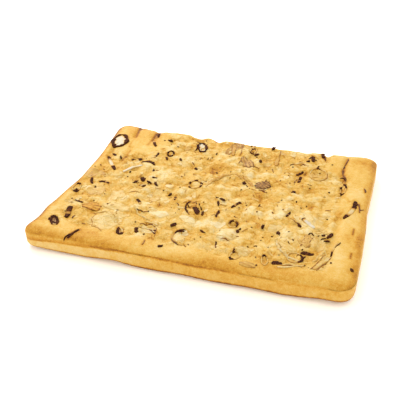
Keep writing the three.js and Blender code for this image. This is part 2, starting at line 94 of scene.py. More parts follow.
# %% [markdown]
# ## The outline
# The tray was a rounded rectangle, and the dough drew back from it as it baked: a long hollow on the left,
# notches and lobes along the back. One way is to draw the outline by hand, but then the crumb inside
# wouldn't follow it. Here the dough is first thought of as filling the tray, and then each place is shifted
# by the dents of the nearest side, less and less towards the middle.

# %% Tray and dents
# Sizes and places are in mm, from the middle of the sheet, x to the right and y to the back.
LENGTH, WIDTH = 400.0, 300.0
HALF_LENGTH, HALF_WIDTH = LENGTH / 2, WIDTH / 2
CORNER_RADIUS = 20.0
# A side's dents are felt this far into the sheet.
EDGE_WARP_REACH = 50.0
# Each dent: its middle along the side, its reach either way, its depth.
LEFT_DENTS = [(-5, 105, 13.4), (-78, 45, 3), (80, 80, 6.8), (-115, 30, 5.4), (-165, 36, -3)]
RIGHT_DENTS = [(10, 40, 1.2), (-70, 120, -2), (-170, 40, -3), (130, 120, -1.6)]
FRONT_DENTS = [(200, 90, 2.2), (-120, 30, 1), (-215, 50, -2), (215, 50, -2)]
BACK_DENTS = [
    (-130, 14, 7), (-63, 13, 7), (-32, 11, 8), (70, 210, 10.5), (25, 40, 4), (62, 13, 3), (101, 12, 4),
    (131, 9, 7), (-198, 40, -3), (-145, 16, 3), (-114, 12, 3), (-73, 9, 5), (-41, 9, 3), (88, 30, 2),
]
print("dents of the back edge:", len(BACK_DENTS))


# %% From the tray's outline to the bread's
def drawn_back(dents, value):
    """How far a side is drawn in at a place along it."""
    return sum(depth * swell(value, at, reach) for at, reach, depth in dents)


def hold(distance):
    """How much of a side's dent is felt at a distance from that side."""
    return np.clip(1.0 - distance / EDGE_WARP_REACH, 0.0, 1.0) ** 2


def shift_from_tray(x, y):
    from_left, from_right = drawn_back(LEFT_DENTS, y), drawn_back(RIGHT_DENTS, y)
    from_front, from_back = drawn_back(FRONT_DENTS, x), drawn_back(BACK_DENTS, x)
    in_x = from_left * hold(x + HALF_LENGTH) - from_right * hold(HALF_LENGTH - x)
    in_y = from_front * hold(y + HALF_WIDTH) - from_back * hold(HALF_WIDTH - y)
    return in_x, in_y


# Each round finds the place before the shift a little better; after four nearly all are within 0.2 mm.
TRAY_ROUNDS = 4


def in_tray(x, y):
    """Where a place on the bread lay while the dough still filled the tray."""
    tray_x, tray_y = x, y
    for _ in range(TRAY_ROUNDS):
        in_x, in_y = shift_from_tray(tray_x, tray_y)
        tray_x, tray_y = x - in_x, y - in_y
    return tray_x, tray_y


print("middle of the left side is drawn back, mm:", round(float(drawn_back(LEFT_DENTS, 0.0)), 1))


# %% Distance from the edge, and an even grid over the sheet
def edge_distance(tray_x, tray_y):
    """How far inside the tray's rounded outline a place lies."""
    from_side = HALF_LENGTH - np.abs(tray_x)
    from_end = HALF_WIDTH - np.abs(tray_y)
    in_corner = (from_side < CORNER_RADIUS) & (from_end < CORNER_RADIUS)
    rounded = CORNER_RADIUS - np.hypot(CORNER_RADIUS - from_side, CORNER_RADIUS - from_end)
    return np.where(in_corner, rounded, np.minimum(from_side, from_end))


def on_sheet(u, v, inset):
    """A square of -1 to 1 laid over the rounded sheet, drawn in by an inset."""
    half_x, half_y, radius = HALF_LENGTH - inset, HALF_WIDTH - inset, CORNER_RADIUS - inset
    x, y = np.abs(u) * half_x, np.abs(v) * half_y
    past_x, past_y = x - (half_x - radius), y - (half_y - radius)
    in_corner = (past_x > 0) & (past_y > 0)
    pull = np.maximum(past_x, past_y) / np.maximum(np.hypot(past_x, past_y), 1e-9)
    x = np.where(in_corner, half_x - radius + past_x * pull, x)
    y = np.where(in_corner, half_y - radius + past_y * pull, y)
    return np.sign(u) * x, np.sign(v) * y


print("back edge at its left notch, mm:", round(float(HALF_WIDTH - drawn_back(BACK_DENTS, -130.0)), 1))

# %% [markdown]
# ## The top of the dough
# Along the sides the skin is a smooth rounded rim; inside it the dough rose in lumps round the onion. The
# lumps are domes on a loose grid about 25 mm apart, joined so that a sharp valley stays between two of
# them, as between bubbles that grew into each other. A displacement texture could do it too, but then the
# onion wouldn't know how high the dough stands, and it has to lie on it.

# %% Bubbles, pockets and furrows
# The solid has the same ones. Bubbles and pockets: middle x and y, half-axes, rise.
BUBBLES = [
    (-45, -72, 19, 13, 4.6), (-108, -92, 27, 20, 4.2), (-105, -50, 22, 17, 4.4), (45, -88, 18, 12, 4.2),
    (132, -20, 17, 15, 4.0), (15, 6, 26, 20, 4.8), (-70, 20, 24, 18, 4.6), (-60, 72, 22, 20, 4.2),
    (95, 10, 24, 18, 4.4), (35, 56, 18, 13, 4.0),
]
POCKETS = [
    (-167, -121, 9, 9, -2.8), (-80.5, -117, 7, 8, -2.8), (-178, -42, 7, 11, -2.2), (64.5, -126, 7, 9, -2.2),
    (131, -109, 8, 9, -2.2), (25, 85, 14, 11, -1.4), (60, 31, 10, 11, -1.6),
]
# Furrows: start x and y, end x and y, half width, depth.
FURROWS = [
    (-161, 150, -159, 112, 4, 2.2), (-130, 146, -129, 112, 5, 3.4), (-63, 146, -60, 128, 5, 3.4),
    (-32, 146, -34, 128, 5, 3.2), (131, 146, 134, 116, 4, 3.0), (160, 146, 158, 84, 4, 2.2),
    (158, 84, 164, 32, 4.5, 2.6), (169, -22, 165, -112, 4.5, 2.4), (-151, 80, -150, 44, 3.5, 1.8),
    (-176, 78, -176, 50, 3.5, 1.4),
]
LUMP_PITCH, LUMP_SHARPNESS = 25.0, 3
# Least value and spread of a lump's height in mm, and of its radius as a share of the pitch.
LUMP_RISE, LUMP_RADIUS = (2.6, 3.0), (0.56, 0.3)
print(len(BUBBLES), "bubbles,", len(POCKETS), "pockets,", len(FURROWS), "furrows")


# %% Lumps and furrows
def dome(x, y, at_x, at_y, half_x, half_y, rise):
    away = ((x - at_x) / half_x) ** 2 + ((y - at_y) / half_y) ** 2
    return (rise * np.maximum(1.0 - away, 0.0)) ** LUMP_SHARPNESS


def lumps(x, y, pitch=LUMP_PITCH, kind=0, rise=LUMP_RISE, spots=BUBBLES):
    """One dome to each square of a loose grid; their powers added up leave a sharp valley between two."""
    column, row = np.floor(x / pitch), np.floor(y / pitch)
    total = sum((dome(x, y, *spot) for spot in spots), np.zeros_like(x))
    for i in (column - 1, column, column + 1):
        for j in (row - 1, row, row + 1):
            at_x = (i + 0.5 + 0.6 * (scatter(i, j, kind) - 0.5)) * pitch
            at_y = (j + 0.5 + 0.6 * (scatter(i, j, kind + 1) - 0.5)) * pitch
            radius = pitch * (LUMP_RADIUS[0] + LUMP_RADIUS[1] * scatter(i, j, kind + 2))
            wide = radius * (0.75 + 0.5 * scatter(i, j, kind + 3))
            total += dome(x, y, at_x, at_y, radius, wide, rise[0] + rise[1] * scatter(i, j, kind + 4))
    return total ** (1 / LUMP_SHARPNESS)


def furrow_share(x, y, furrow):
    """1 on the line from one end of a furrow to the other, fading over its half width."""
    from_x, from_y, to_x, to_y, half, _ = furrow
    run_x, run_y = to_x - from_x, to_y - from_y
    along = np.clip(((x - from_x) * run_x + (y - from_y) * run_y) / (run_x**2 + run_y**2), 0.0, 1.0)
    away = np.hypot(x - from_x - along * run_x, y - from_y - along * run_y)
    return np.exp(-((away / half) ** 2))


def furrow_depth(x, y):
    return np.max([furrow[5] * furrow_share(x, y, furrow) for furrow in FURROWS], axis=0)


print("lump at the middle, mm:", round(float(lumps(np.zeros(1), np.zeros(1))[0]), 1))


# %% Crust and crumb
# The skin turns from crust to crumb over this much on either side of the rim's line.
RIM_BLEND = 7.0
BACK_RIM = 9.0
# Smooth patches away from the rim: middle x and y, half-axes.
CRUST_PATCHES = [(-152, 112, 52, 48), (168, 112, 36, 36)]


def crust_share(tray_x, tray_y):
    """1 on smooth crust, 0 on lumpy crumb."""
    # Width of the smooth rim on each side; it wanders by a few mm.
    front_rim = 31.0 - 9.0 * smooth(-120.0, -20.0, tray_x) + 2.5 * np.sin(tray_x / 9)
    rims = [
        (tray_x + HALF_LENGTH, 22 + 4 * np.sin(tray_y / 17)),
        (HALF_LENGTH - tray_x, 34 + 2 * np.sin(tray_y / 13)),
        (tray_y + HALF_WIDTH, front_rim),
        (HALF_WIDTH - tray_y, BACK_RIM),
    ]
    shares = [1.0 - smooth(rim - RIM_BLEND, rim + RIM_BLEND, distance) for distance, rim in rims]
    for at_x, at_y, half_x, half_y in CRUST_PATCHES:
        shares.append(1.0 - smooth(0.8, 1.15, np.hypot((tray_x - at_x) / half_x, (tray_y - at_y) / half_y)))
    return np.max(shares, axis=0)


print("share of crust 20 mm from the front:", round(float(crust_share(0.0, 20.0 - HALF_WIDTH)), 2))


# %% Height of the top
CROWN_HEIGHT, CRUMB_HEIGHT = 29.2, 24.5
SHOULDER_HEIGHT, SHOULDER_REACH, BACK_SHOULDER_EXTRA = 22.5, 17.0, 12.0
# Raised corners: middle x and y, half-axes, rise.
RAISED_CORNERS = [(-185, 140, 42, 34, 2.8), (185, 138, 40, 32, 1.8), (-186, -136, 34, 24, 0.8)]
# The crust sinks a little away from the rim: by how much, and between which distances.
CRUST_SINK, CRUST_SINK_FROM, CRUST_SINK_TO = 1.6, 18.0, 55.0


def top_height(x, y):
    x, y = np.asarray(x, float), np.asarray(y, float)
    tray_x, tray_y = in_tray(x, y)
    inset = np.maximum(edge_distance(tray_x, tray_y), 0.0)
    share = crust_share(tray_x, tray_y)
    raised = sum(corner[4] * blob(x, y, corner) for corner in RAISED_CORNERS)
    waves = 0.6 * np.sin(x / 19) * np.cos(y / 23) + 0.4 * np.sin(y / 11 + x / 31)
    crust = CROWN_HEIGHT + raised + waves - CRUST_SINK * smooth(CRUST_SINK_FROM, CRUST_SINK_TO, inset)
    crumb = CRUMB_HEIGHT + lumps(x, y)
    pockets = sum(pocket[4] * blob(x, y, pocket) for pocket in POCKETS)
    open_top = crumb * (1 - share) + crust * share + pockets - furrow_depth(x, y)
    # The shoulder is a quarter of an ellipse from the wall's top to the open top; at the back it is flatter.
    reach = SHOULDER_REACH + BACK_SHOULDER_EXTRA * smooth(90.0, 150.0, y)
    past = np.clip(1.0 - inset / reach, 0.0, 1.0)
    return SHOULDER_HEIGHT + (open_top - SHOULDER_HEIGHT) * np.sqrt(1.0 - past**2)


print("height of the middle, mm:", round(float(top_height(0.0, 0.0)), 1))

# %% [markdown]
# ## The wall and the base
# Below the rim the tray held the dough back, so the wall is pale and nearly upright. Where the risen top
# folded over it there is a crease half way up, deep at the left and nearly gone at the right. The base
# edge lifts a little off the table, most at the front corners. A bevel would be the same all round; here
# the wall is a row of levels, and each level's inset and height are worked out from the crease and the lift.

# %% Wall and base heights
CREASE_HEIGHT, BASE_LIFT = 19.8, 2.8
# Strength, pitch and kind of the crease's own ripples.
CREASE_RIPPLES = [(0.7, 16, 64), (0.35, 6, 65)]


def crease_height(x, y):
    left_corner = blob(x, y, (-200, -150, 60, 60))
    right_corner = blob(x, y, (190, -150, 50, 60))
    waves = 0.9 * np.sin(x / 21 + y / 17) + ripples(x, y, CREASE_RIPPLES)
    return CREASE_HEIGHT - 7.5 * left_corner + 1.4 * right_corner + waves


def crease_depth(x, y):
    return 1.2 - 1.1 * smooth(-60.0, 150.0, x + 0.4 * y)


def base_lift(x, y):
    """How far the base edge stands off the table."""
    left_corner = blob(x, y, (-196, -150, 24, 30))
    right_corner = blob(x, y, (200, -150, 48, 40))
    front_rise = swell(x, -82, 38) * (1 - smooth(-140.0, -110.0, y))
    return BASE_LIFT + 3 * left_corner + 3 * right_corner + 2.3 * front_rise + 0.5 * np.sin(x / 13 + y / 29)


print("crease in the middle of the front, mm:", round(float(crease_height(0.0, -HALF_WIDTH)), 1))


# %% Levels down the wall
# How far inside the outline the base's edge lies, and where the base is flat on the table.
BASE_INSET, BASE_REACH = 3.4, 18.0
# The fold is shallow: it goes in by this share of the crease's depth, and the painted shade of its brown line
# does the rest.
FOLD_SHARE = 0.12
# The bulge under the crease and the foot start this far from the crease and from the lifted edge.
UNDER_CREASE, ABOVE_FOOT = 1.5, 2.4


def wall_knots(x, y):
    """Inset from the outline and height down the wall, from under the rim to the flat of the base."""
    crease, lift = crease_height(x, y), base_lift(x, y)
    fold = FOLD_SHARE * crease_depth(x, y)
    flat = np.zeros_like(x)
    under, foot = crease - UNDER_CREASE, lift + ABOVE_FOOT
    drop = under - foot
    return [
        (flat + 0.5, flat + SHOULDER_HEIGHT + 1.3),
        (flat + 0.2, flat + SHOULDER_HEIGHT),
        (0.15 + 0.4 * fold, crease + 1.9),
        (0.15 + 0.85 * fold, crease + 0.8),
        (0.15 + fold, crease - 0.2),
        (0.12 + 0.85 * fold, under),
        (0.08 + 0.4 * fold, under - 0.14 * drop),
        (flat + 0.05, under - 0.32 * drop),
        (flat, under - 0.56 * drop),
        (flat + 0.2, under - 0.8 * drop),
        (flat + 0.6, foot),
        (flat + 1.2, lift + 1.0),
        (flat + 2.0, lift + 0.3),
        (flat + BASE_INSET, lift),
        (flat + 6.5, 0.82 * lift),
        (flat + 12.0, 0.3 * lift),
        (flat + BASE_REACH, flat),
    ]


print("wall levels:", len(wall_knots(np.zeros(1), np.zeros(1))))

# %% [markdown]
# ## Where the onion lies
# The dough sinks a little under each piece of onion and swells up beside it, and it browns next to burnt
# bits. So the onion is laid out first. A ribbon is an arc that lies on the dough: the middle of its length,
# its length, the way it heads, how far it turns, and its width. Burnt parts are given as shares of the
# length from its start and from its end.

# %% Onion layout
Ribbon = namedtuple("Ribbon", "name x y length heading turn width burnt_start burnt_end tone")
# Tone is that of the part that isn't burnt: 0 cream, 0.5 amber, 0.8 brown.
RIBBONS = [Ribbon(*row) for row in [
    ("ribbon_back_left_pale", -161, 30, 44, -53, 6, 5, 0.2, 0.22, 0.16),
    ("ribbon_back_left_hook", -127, 25, 32, 54, -60, 5, 0.0, 0.0, 0.14),
    ("ribbon_back_left_cap", -109, 47, 23, -6, -95, 5, 0.6, 0.6, 0.6),
    ("ribbon_back_left_thread", -104, 65, 18, -88, -36, 3, 0.8, 0.0, 0.6),
    ("ribbon_below_ring", -89.5, 64, 17, -64, 0, 3, 0.0, 0.5, 0.5),
    ("ribbon_rim_notch", -126, 128, 16, -74, 0, 4.4, 0.6, 0.5, 0.2),
    ("ribbon_below_notch", -124, 103, 22, -58, 6, 4, 0.0, 0.5, 0.55),
    ("ribbon_back_brown", -3, 116, 38, -78, 0, 6, 0.05, 0.0, 0.6),
    ("ribbon_back_amber", 65, 97, 22, -84, 10, 6, 0.0, 0.0, 0.55),
    ("ribbon_back_right_dark", 124.5, 133, 15, -76, 0, 5.4, 0.6, 0.5, 0.2),
    ("ribbon_tangle", 113, 115, 16, -78, 10, 5.4, 0.6, 0.5, 0.5),
    ("ribbon_back_right_arch", 97, 101, 34, 2, -150, 3, 0.2, 0.0, 0.35),
    ("ribbon_right_tick", 102, 75.5, 12, 52, 0, 4, 0.6, 0.6, 0.2),
    ("ribbon_right_stroke", 105, 58, 17, -94, 0, 4.2, 0.6, 0.3, 0.5),
    ("ribbon_right_rim", 181.5, -1, 42, -104, -44, 5.6, 0.4, 0.17, 0.2),
    ("ribbon_left_tick", -166, -22, 17, -62, 35, 3.4, 0.6, 0.6, 0.5),
    ("ribbon_left_arch", -147, -20.5, 15, -8, -30, 3.6, 0.6, 0.2, 0.5),
    ("ribbon_left_thread", -159, -72, 15, -18, 0, 2.6, 0.6, 0.6, 0.2),
    ("ribbon_left_char", -160, -98, 22, -80, 0, 7, 0.5, 0.32, 0.45),
    ("ribbon_front_left_comma", -83, -52, 15, -50, -30, 4, 0.7, 0.0, 0.4),
    ("ribbon_middle_loop", -21, -49, 38, -74, 75, 2.4, 0.9, 0.0, 0.6),
    ("ribbon_middle_char", -6.5, -51.5, 20, -60, 0, 6.6, 0.6, 0.6, 0.5),
    ("ribbon_middle_left_thread", -41, -32, 15, -75, 0, 2.8, 0.7, 0.1, 0.5),
    ("ribbon_front_arch", -48, -101.8, 22, -16, -55, 3.4, 0.0, 0.1, 0.32),
    ("ribbon_front_arch_start", -63, -109.5, 12, -68, 0, 4, 0.6, 0.5, 0.2),
    ("ribbon_front_upper_arch", -49, -92.5, 21, -18, -40, 2.8, 0.0, 0.0, 0.32),
    ("ribbon_front_rim", -131.5, -139, 18, -118, 0, 3.2, 0.6, 0.5, 0.2),
    ("ribbon_left_middle_char", -101, 4, 11, -52, 0, 6, 0.6, 0.6, 0.2),
    ("ribbon_left_middle_pale", -94.5, -13.5, 13, -45, 0, 6, 0.2, 0.2, 0.3),
    ("ribbon_middle_right_stroke", 39, -26.5, 17, -118, 0, 4.4, 0.5, 0.3, 0.5),
    ("ribbon_middle_right_thread", 22.3, -52, 15, -88, 0, 3.2, 0.6, 0.6, 0.2),
    ("ribbon_right_middle_pale", 133.5, -42, 24, -42, 0, 5, 0.12, 0.0, 0.14),
    ("ribbon_right_middle_thread", 106.5, -28.5, 14, -104, 0, 2.8, 0.6, 0.3, 0.5),
    ("ribbon_right_char", 162.3, -59, 13, -112, 0, 4.4, 0.6, 0.6, 0.2),
    ("ribbon_right_long_top", 169.5, -84, 26, -98, 30, 2.6, 0.0, 0.3, 0.5),
    ("ribbon_right_long", 161, -114, 28, -117, -10, 6, 0.0, 0.0, 0.38),
    ("ribbon_front_right_bar", 113.6, -127.6, 12.4, 18, 0, 5.6, 0.6, 0.5, 0.2),
    ("ribbon_front_right_strip", 130.5, -129.5, 33, 30, 52, 3, 0.0, 0.0, 0.3),
    ("ribbon_front_right_char", 142, -96.8, 15, -4, -10, 5.2, 0.6, 0.5, 0.2),
    ("ribbon_front_ring", -17, -108, 40, -90, 160, 2.4, 0.35, 0.0, 0.6),
]]
# Each ring or cup: name, x, y, half-axes of its middle line, turn, width, burnt sides as (angle, spread).
RINGS = [
    ("ring_back_left", -89, 80, 4.2, 5.2, 0, 3, ((60, 80), (200, 70), (300, 40))),
    ("ring_back", 25, 120, 4.4, 8.6, 0, 2.8, ((110, 50), (265, 46))),
    ("ring_back_right", 126.5, 75, 11.5, 16.5, 0, 3, ((100, 14),)),
    ("ring_right_rim", 164, 49, 3.4, 11, 0, 3, ((55, 60), (265, 40), (170, 20))),
    ("ring_left", -178, -42, 4.4, 9.6, 4, 3, ((95, 46), (300, 44))),
    ("ring_middle", -26, 5, 8.6, 8.6, 0, 3.2, ((98, 18), (166, 14), (226, 22), (340, 16), (34, 18))),
    ("ring_middle_right", 46.5, -67, 5, 7.4, 0, 3, ((140, 46), (20, 60))),
    ("ring_front_right", 130, -109, 8.4, 9.4, 0, 3, ((0, 64),)),
    ("ring_front_narrow", 99, -125, 3.6, 10, 14, 2.6, ((92, 50),)),
    ("ring_front_pocket", 64.5, -126, 5.4, 8, 0, 2.8, ((250, 34), (122, 18))),
    ("ring_left_pocket", -167, -121, 10.4, 4, -54, 3.6, ((90, 88), (180, 60), (270, 60))),
    ("ring_front_left_pocket", -80.6, -117.5, 6, 2.9, -64, 4.8, ((301, 140),)),
]
CUPS = [("cup_back_left", -175, 92, 13.5, 20, 13), ("cup_back", -50, 109, 7.6, 19, 24)]
PETALS = [
    ("petal_back", 25, 85, 17, 7.5, -52),
    ("petal_middle_right", 60, 31, 10, 12, -20),
    ("petal_right", 138.5, -77, 6.5, 12.5, 4),
    ("petal_front_right", 83, -138.5, 10, 4, -4),
    ("petal_left", -137, -78, 13, 8, 6),
]
print(len(RIBBONS), "ribbons,", len(RINGS), "rings,", len(CUPS), "cups,", len(PETALS), "petals")


# %% Places on the pieces
def along_ribbon(ribbon, distance):
    """Place and heading on a ribbon at a distance from its middle."""
    lead, bend = math.radians(ribbon.heading), math.radians(ribbon.turn) / ribbon.length
    now = lead + bend * distance
    if abs(bend) < 1e-6:
        return ribbon.x + distance * math.cos(lead), ribbon.y + distance * math.sin(lead), now
    across, up = (np.sin(now) - math.sin(lead)) / bend, (np.cos(now) - math.cos(lead)) / bend
    return ribbon.x + across, ribbon.y - up, now


def turned(x, y, at_x, at_y, turn):
    """A place turned by some degrees and moved to a middle."""
    cos, sin = math.cos(math.radians(turn)), math.sin(math.radians(turn))
    return at_x + x * cos - y * sin, at_y + x * sin + y * cos


def burnt_share(spots, angle):
    """How burnt a ring is at an angle in degrees: spots are a middle angle and a spread."""
    burnt = np.zeros_like(angle)
    for middle, spread in spots:
        away = np.abs((angle - middle + 180) % 360 - 180)
        burnt = np.maximum(burnt, 1.0 - smooth(spread * 0.7, spread, away))
    return burnt


print("middle of the first ribbon:", along_ribbon(RIBBONS[0], 0.0)[:2])

# %% [markdown]
# ## How the dough meets the onion
# For each spot of the dough only two things matter: how near it is to the side of an onion piece, and how
# near to a burnt one. Both come from points set along the pieces. A boolean cut would give a hard groove;
# this gives the soft lip that wet dough makes.

# %% Distance fields of the onion
LAYOUT_STEP = 1.5
RING_POINTS = 40
CUP_POINTS = 48
CUP_RIM_HALF = 2.0
# Beyond this reach from an onion piece the dough doesn't feel it; farther places keep the far number.
ONION_REACH, FAR = 14.0, 99.0


def oval_points(oval, count, drawn_in=0.0):
    """Angle in degrees, x and y of points round an oval, given by its middle, half-axes and turn."""
    at_x, at_y, half_x, half_y, turn = oval
    for angle in np.linspace(0, 360, count, endpoint=False):
        lead = math.radians(angle)
        x, y = (half_x - drawn_in) * math.cos(lead), (half_y - drawn_in) * math.sin(lead)
        yield angle, *turned(x, y, at_x, at_y, turn)


def layout_points():
    """Rows of x, y, half width and burnt share along every piece of onion."""
    rows = []
    for ribbon in RIBBONS:
        count = max(3, round(ribbon.length / LAYOUT_STEP))
        for distance in np.linspace(-ribbon.length / 2, ribbon.length / 2, count):
            x, y, _ = along_ribbon(ribbon, distance)
            share = distance / ribbon.length + 0.5
            burnt = share < ribbon.burnt_start or share > 1 - ribbon.burnt_end
            rows.append((x, y, ribbon.width / 2, float(burnt)))
    for _, *oval, width, spots in RINGS:
        for angle, x, y in oval_points(oval, RING_POINTS):
            rows.append((x, y, width / 2, float(burnt_share(spots, np.array([angle]))[0])))
    for _, *oval in CUPS:
        rows += [(x, y, CUP_RIM_HALF, 1.0) for _, x, y in oval_points(oval, CUP_POINTS, CUP_RIM_HALF)]
    return np.array(rows)


def onion_fields(x, y):
    """Distance in mm from the nearest onion's side, and from the nearest burnt onion."""
    to_onion, to_burnt = np.full(x.shape, FAR), np.full(x.shape, FAR)
    for at_x, at_y, half, burnt in layout_points():
        near = np.nonzero((np.abs(x - at_x) < ONION_REACH) & (np.abs(y - at_y) < ONION_REACH))[0]
        away = np.hypot(x[near] - at_x, y[near] - at_y) - half
        to_onion[near] = np.minimum(to_onion[near], away)
        if burnt > 0.5:
            to_burnt[near] = np.minimum(to_burnt[near], away)
    return to_onion, to_burnt


print("layout points:", len(layout_points()))

# %% [markdown]
# ## Fine relief of the skin
# The solid has the large forms. Seen close, the crumb also has lumps of 11 mm and 5.5 mm, and the crust has
# soft wrinkles. They could come from a displaced texture, but they are formulas here, so that the onion can
# ask how high they stand. They fade out at the onion, which lies on firm dough with a small lip beside it.

# %% Fine relief
# Pitch in mm, kind of scatter, least rise and spread of rise.
SMALL_LUMPS = [(11.0, 40, (1.0, 1.5)), (5.5, 80, (0.35, 0.75))]
# Strength in mm, pitch and kind of the crust's wrinkles.
WRINKLES = [(0.35, 15, 61), (0.2, 6, 62), (0.08, 3, 63)]
LIP_RISE, LIP_REACH, LIP_AT = 0.5, 2.0, 1.2
SEAT_SINK = 0.5


def fine_relief(x, y, share, inset, to_onion):
    relief = share * ripples(x, y, WRINKLES)
    for pitch, kind, rise in SMALL_LUMPS:
        middle = rise[0] + 0.5 * rise[1]
        relief += (lumps(x, y, pitch, kind, rise, ()) - 0.7 * middle) * (1 - share)
    relief *= smooth(-0.5, 2.5, to_onion) * smooth(1.0, 9.0, inset)
    lip = LIP_RISE * np.exp(-(((to_onion - LIP_AT) / LIP_REACH) ** 2))
    seat = SEAT_SINK * (1 - smooth(-1.4, 0.4, to_onion))
    return relief + (lip - seat) * smooth(2.0, 8.0, inset)


print("finest lumps and wrinkles, mm:", SMALL_LUMPS[-1][0], "and", WRINKLES[-1][1])


# %% Height of the finished dough
SKIN_PITCH, SKIN_MARGIN = 1.0, 4.0


def skin_grid():
    """Height of the dough with its fine relief, once for a whole millimetre grid over the sheet."""
    across = np.arange(-HALF_LENGTH - SKIN_MARGIN, HALF_LENGTH + SKIN_MARGIN + SKIN_PITCH, SKIN_PITCH)
    up = np.arange(-HALF_WIDTH - SKIN_MARGIN, HALF_WIDTH + SKIN_MARGIN + SKIN_PITCH, SKIN_PITCH)
    x, y = (axis.ravel() for axis in np.meshgrid(across, up))
    tray_x, tray_y = in_tray(x, y)
    to_onion, _ = onion_fields(x, y)
    relief = fine_relief(x, y, crust_share(tray_x, tray_y), edge_distance(tray_x, tray_y), to_onion)
    return across, up, (top_height(x, y) + relief).reshape(len(up), len(across))


SKIN_ACROSS, SKIN_UP, SKIN = skin_grid()


def skin_height(x, y):
    """Height of the finished dough at any place, for what lies on it."""
    column = np.clip((np.asarray(x, float) - SKIN_ACROSS[0]) / SKIN_PITCH, 0, len(SKIN_ACROSS) - 1.001)
    row = np.clip((np.asarray(y, float) - SKIN_UP[0]) / SKIN_PITCH, 0, len(SKIN_UP) - 1.001)
    i, j = np.floor(column).astype(int), np.floor(row).astype(int)
    right, above = column - i, row - j
    low = SKIN[j, i] * (1 - right) + SKIN[j, i + 1] * right
    high = SKIN[j + 1, i] * (1 - right) + SKIN[j + 1, i + 1] * right
    return low * (1 - above) + high * above


print("highest dough, mm:", round(float(SKIN.max()), 1))

# %% [markdown]
# ## Browning
# Dough browns where it dries: the rim is golden and the wall stays pale. The brown line along the fold at
# the front is partly browning and partly painted shade of the crease; the edge of the rim at the left is
# darker partly from browning and partly as painted shade, and the wall's foot is brown partly from the tray
# and partly as painted contact shadow. Domes of the crumb are drawn paler the higher they stand, and
# furrows darker the deeper they are. Painting a texture by hand would need its own unwrapped map, so tone
# is a number from 0, pale cream, to 1, brown, worked out from the form and kept on the mesh's points. Named
# patches and strokes are added, as one loaf never browns evenly.

# %% Browner and paler places
# Each patch: middle x and y, half-axes, change of tone.
TONE_PATCHES = [
    (-140, -76, 11, 11, 0.3), (-172, -144, 34, 8, 0.06), (-120, -140, 30, 7, 0.06), (-178, 20, 12, 60, 0.1),
    (-108, -95, 24, 18, -0.2), (-45, -72, 20, 13, -0.24), (-105, -50, 22, 16, -0.14),
    (45, -86, 20, 12, -0.24), (135, -35, 20, 16, -0.12), (122, -75, 22, 16, -0.14), (8, -78, 16, 12, -0.2),
    (-10, -108, 12, 10, -0.2), (-15, 46, 8, 15, 0.15), (73, -55, 6, 10, 0.2), (131, -2, 7, 8, 0.2),
    (60, 12, 7, 9, 0.16), (-70, 30, 40, 26, -0.1), (-165, 72, 14, 18, -0.08), (-60, 78, 26, 18, 0.06),
    (100, 40, 34, 24, 0.06), (165, -70, 9, 40, -0.06), (150, 60, 10, 40, -0.04), (180, 110, 22, 40, 0.1),
    (-150, 120, 46, 30, 0.14), (0, 125, 60, 18, -0.02), (-100, -20, 40, 14, -0.04),
    (105, -140, 75, 12, 0.14), (-5, -134, 55, 12, -0.13), (-85, -134, 60, 9, 0.14),
    (-60, -104, 16, 10, -0.12), (190, -40, 14, 110, 0.06), (46, -119, 34, 8, -0.16),
    (173, -75, 11, 55, -0.13), (180, -146, 26, 8, 0.12), (172, 66, 10, 50, -0.08),
    (118, -66, 42, 34, -0.06), (-60, 30, 26, 20, 0.05), (90, 94, 9, 8, 0.04),
]
print(len(TONE_PATCHES), "patches of tone")

# %% Browned strokes
# Each stroke: start x and y, end x and y, width, change of tone.
BROWN_STROKES = [
    (-162, 141, -158, 115, 4, 0.3), (-158, 100, -155, 80, 2.4, 0.28), (-131, 133, -131, 95, 3.6, 0.3),
    (-104, 89, -102, 80, 4, 0.22), (-149, 73, -150, 45, 3.4, 0.3), (-66, 111, -66, 103, 7, 0.2),
    (-42, 146, -36, 134, 4, 0.35), (-13, 144, -3, 144, 3, 0.35), (-17, 58, -13, 38, 12, 0.2),
    (-5, 66, -5, 60, 5, 0.25), (10, 103, 10, 97, 4, 0.3), (94, 99, 94, 89, 5, 0.12),
    (109, 78, 109, 74, 4, 0.3), (127, 128, 131, 115, 3, 0.35), (124, 77, 124, 73, 3, 0.2),
    (161, 132, 158, 95, 3.4, 0.25), (158, 95, 165, 62, 3.4, 0.28), (190, 55, 192, 46, 2.4, 0.35),
    (132, 1, 132, -13, 3, 0.3), (187.5, -40, 187.5, -52, 2.6, 0.45), (190, -87, 190, -97, 2.6, 0.45),
    (188, 15, 190, -3, 3, 0.35), (168, 28, 175, 18, 5, 0.25), (168, -8, 161, -28, 7, 0.22),
    (-44, -127, -44, -137, 3, 0.3), (46, -71, 46, -79, 5, 0.28), (77, -50, 77, -62, 5, 0.25),
    (2, -121, 7, -128, 2.4, 0.3), (-58, -50, -58, -56, 4, 0.2), (-97, -33, -97, -39, 3, 0.25),
    (-97, -51, -97, -57, 3, 0.2), (64, 2, 66, -12, 4, 0.25), (88, -31, 89, -35, 4, 0.3),
    (102, -23, 102, -29, 4, 0.25),
]
# How far a stroke fades out on either side, as a share of its width.
STROKE_SOFTNESS = 0.6


def stroke_share(x, y, stroke):
    from_x, from_y, to_x, to_y, width = stroke[:5]
    return furrow_share(x, y, (from_x, from_y, to_x, to_y, STROKE_SOFTNESS * width, 0))


print(len(BROWN_STROKES), "strokes")

# %% The brown line along the front: browning and painted crease shade
# The line stands this far above the crease, a little more in the middle of the front, and is this wide.
BAND_AT, BAND_RISE, BAND_WIDTH = 2.6, 1.2, 1.7


def front_share(x, y):
    """1 along the front and round the front left corner, where the rim folded over the wall."""
    front = smooth(-120.0, -142.0, y) + smooth(-180.0, -196.0, x) * smooth(-60.0, -120.0, y)
    return np.minimum(front, 1.0)


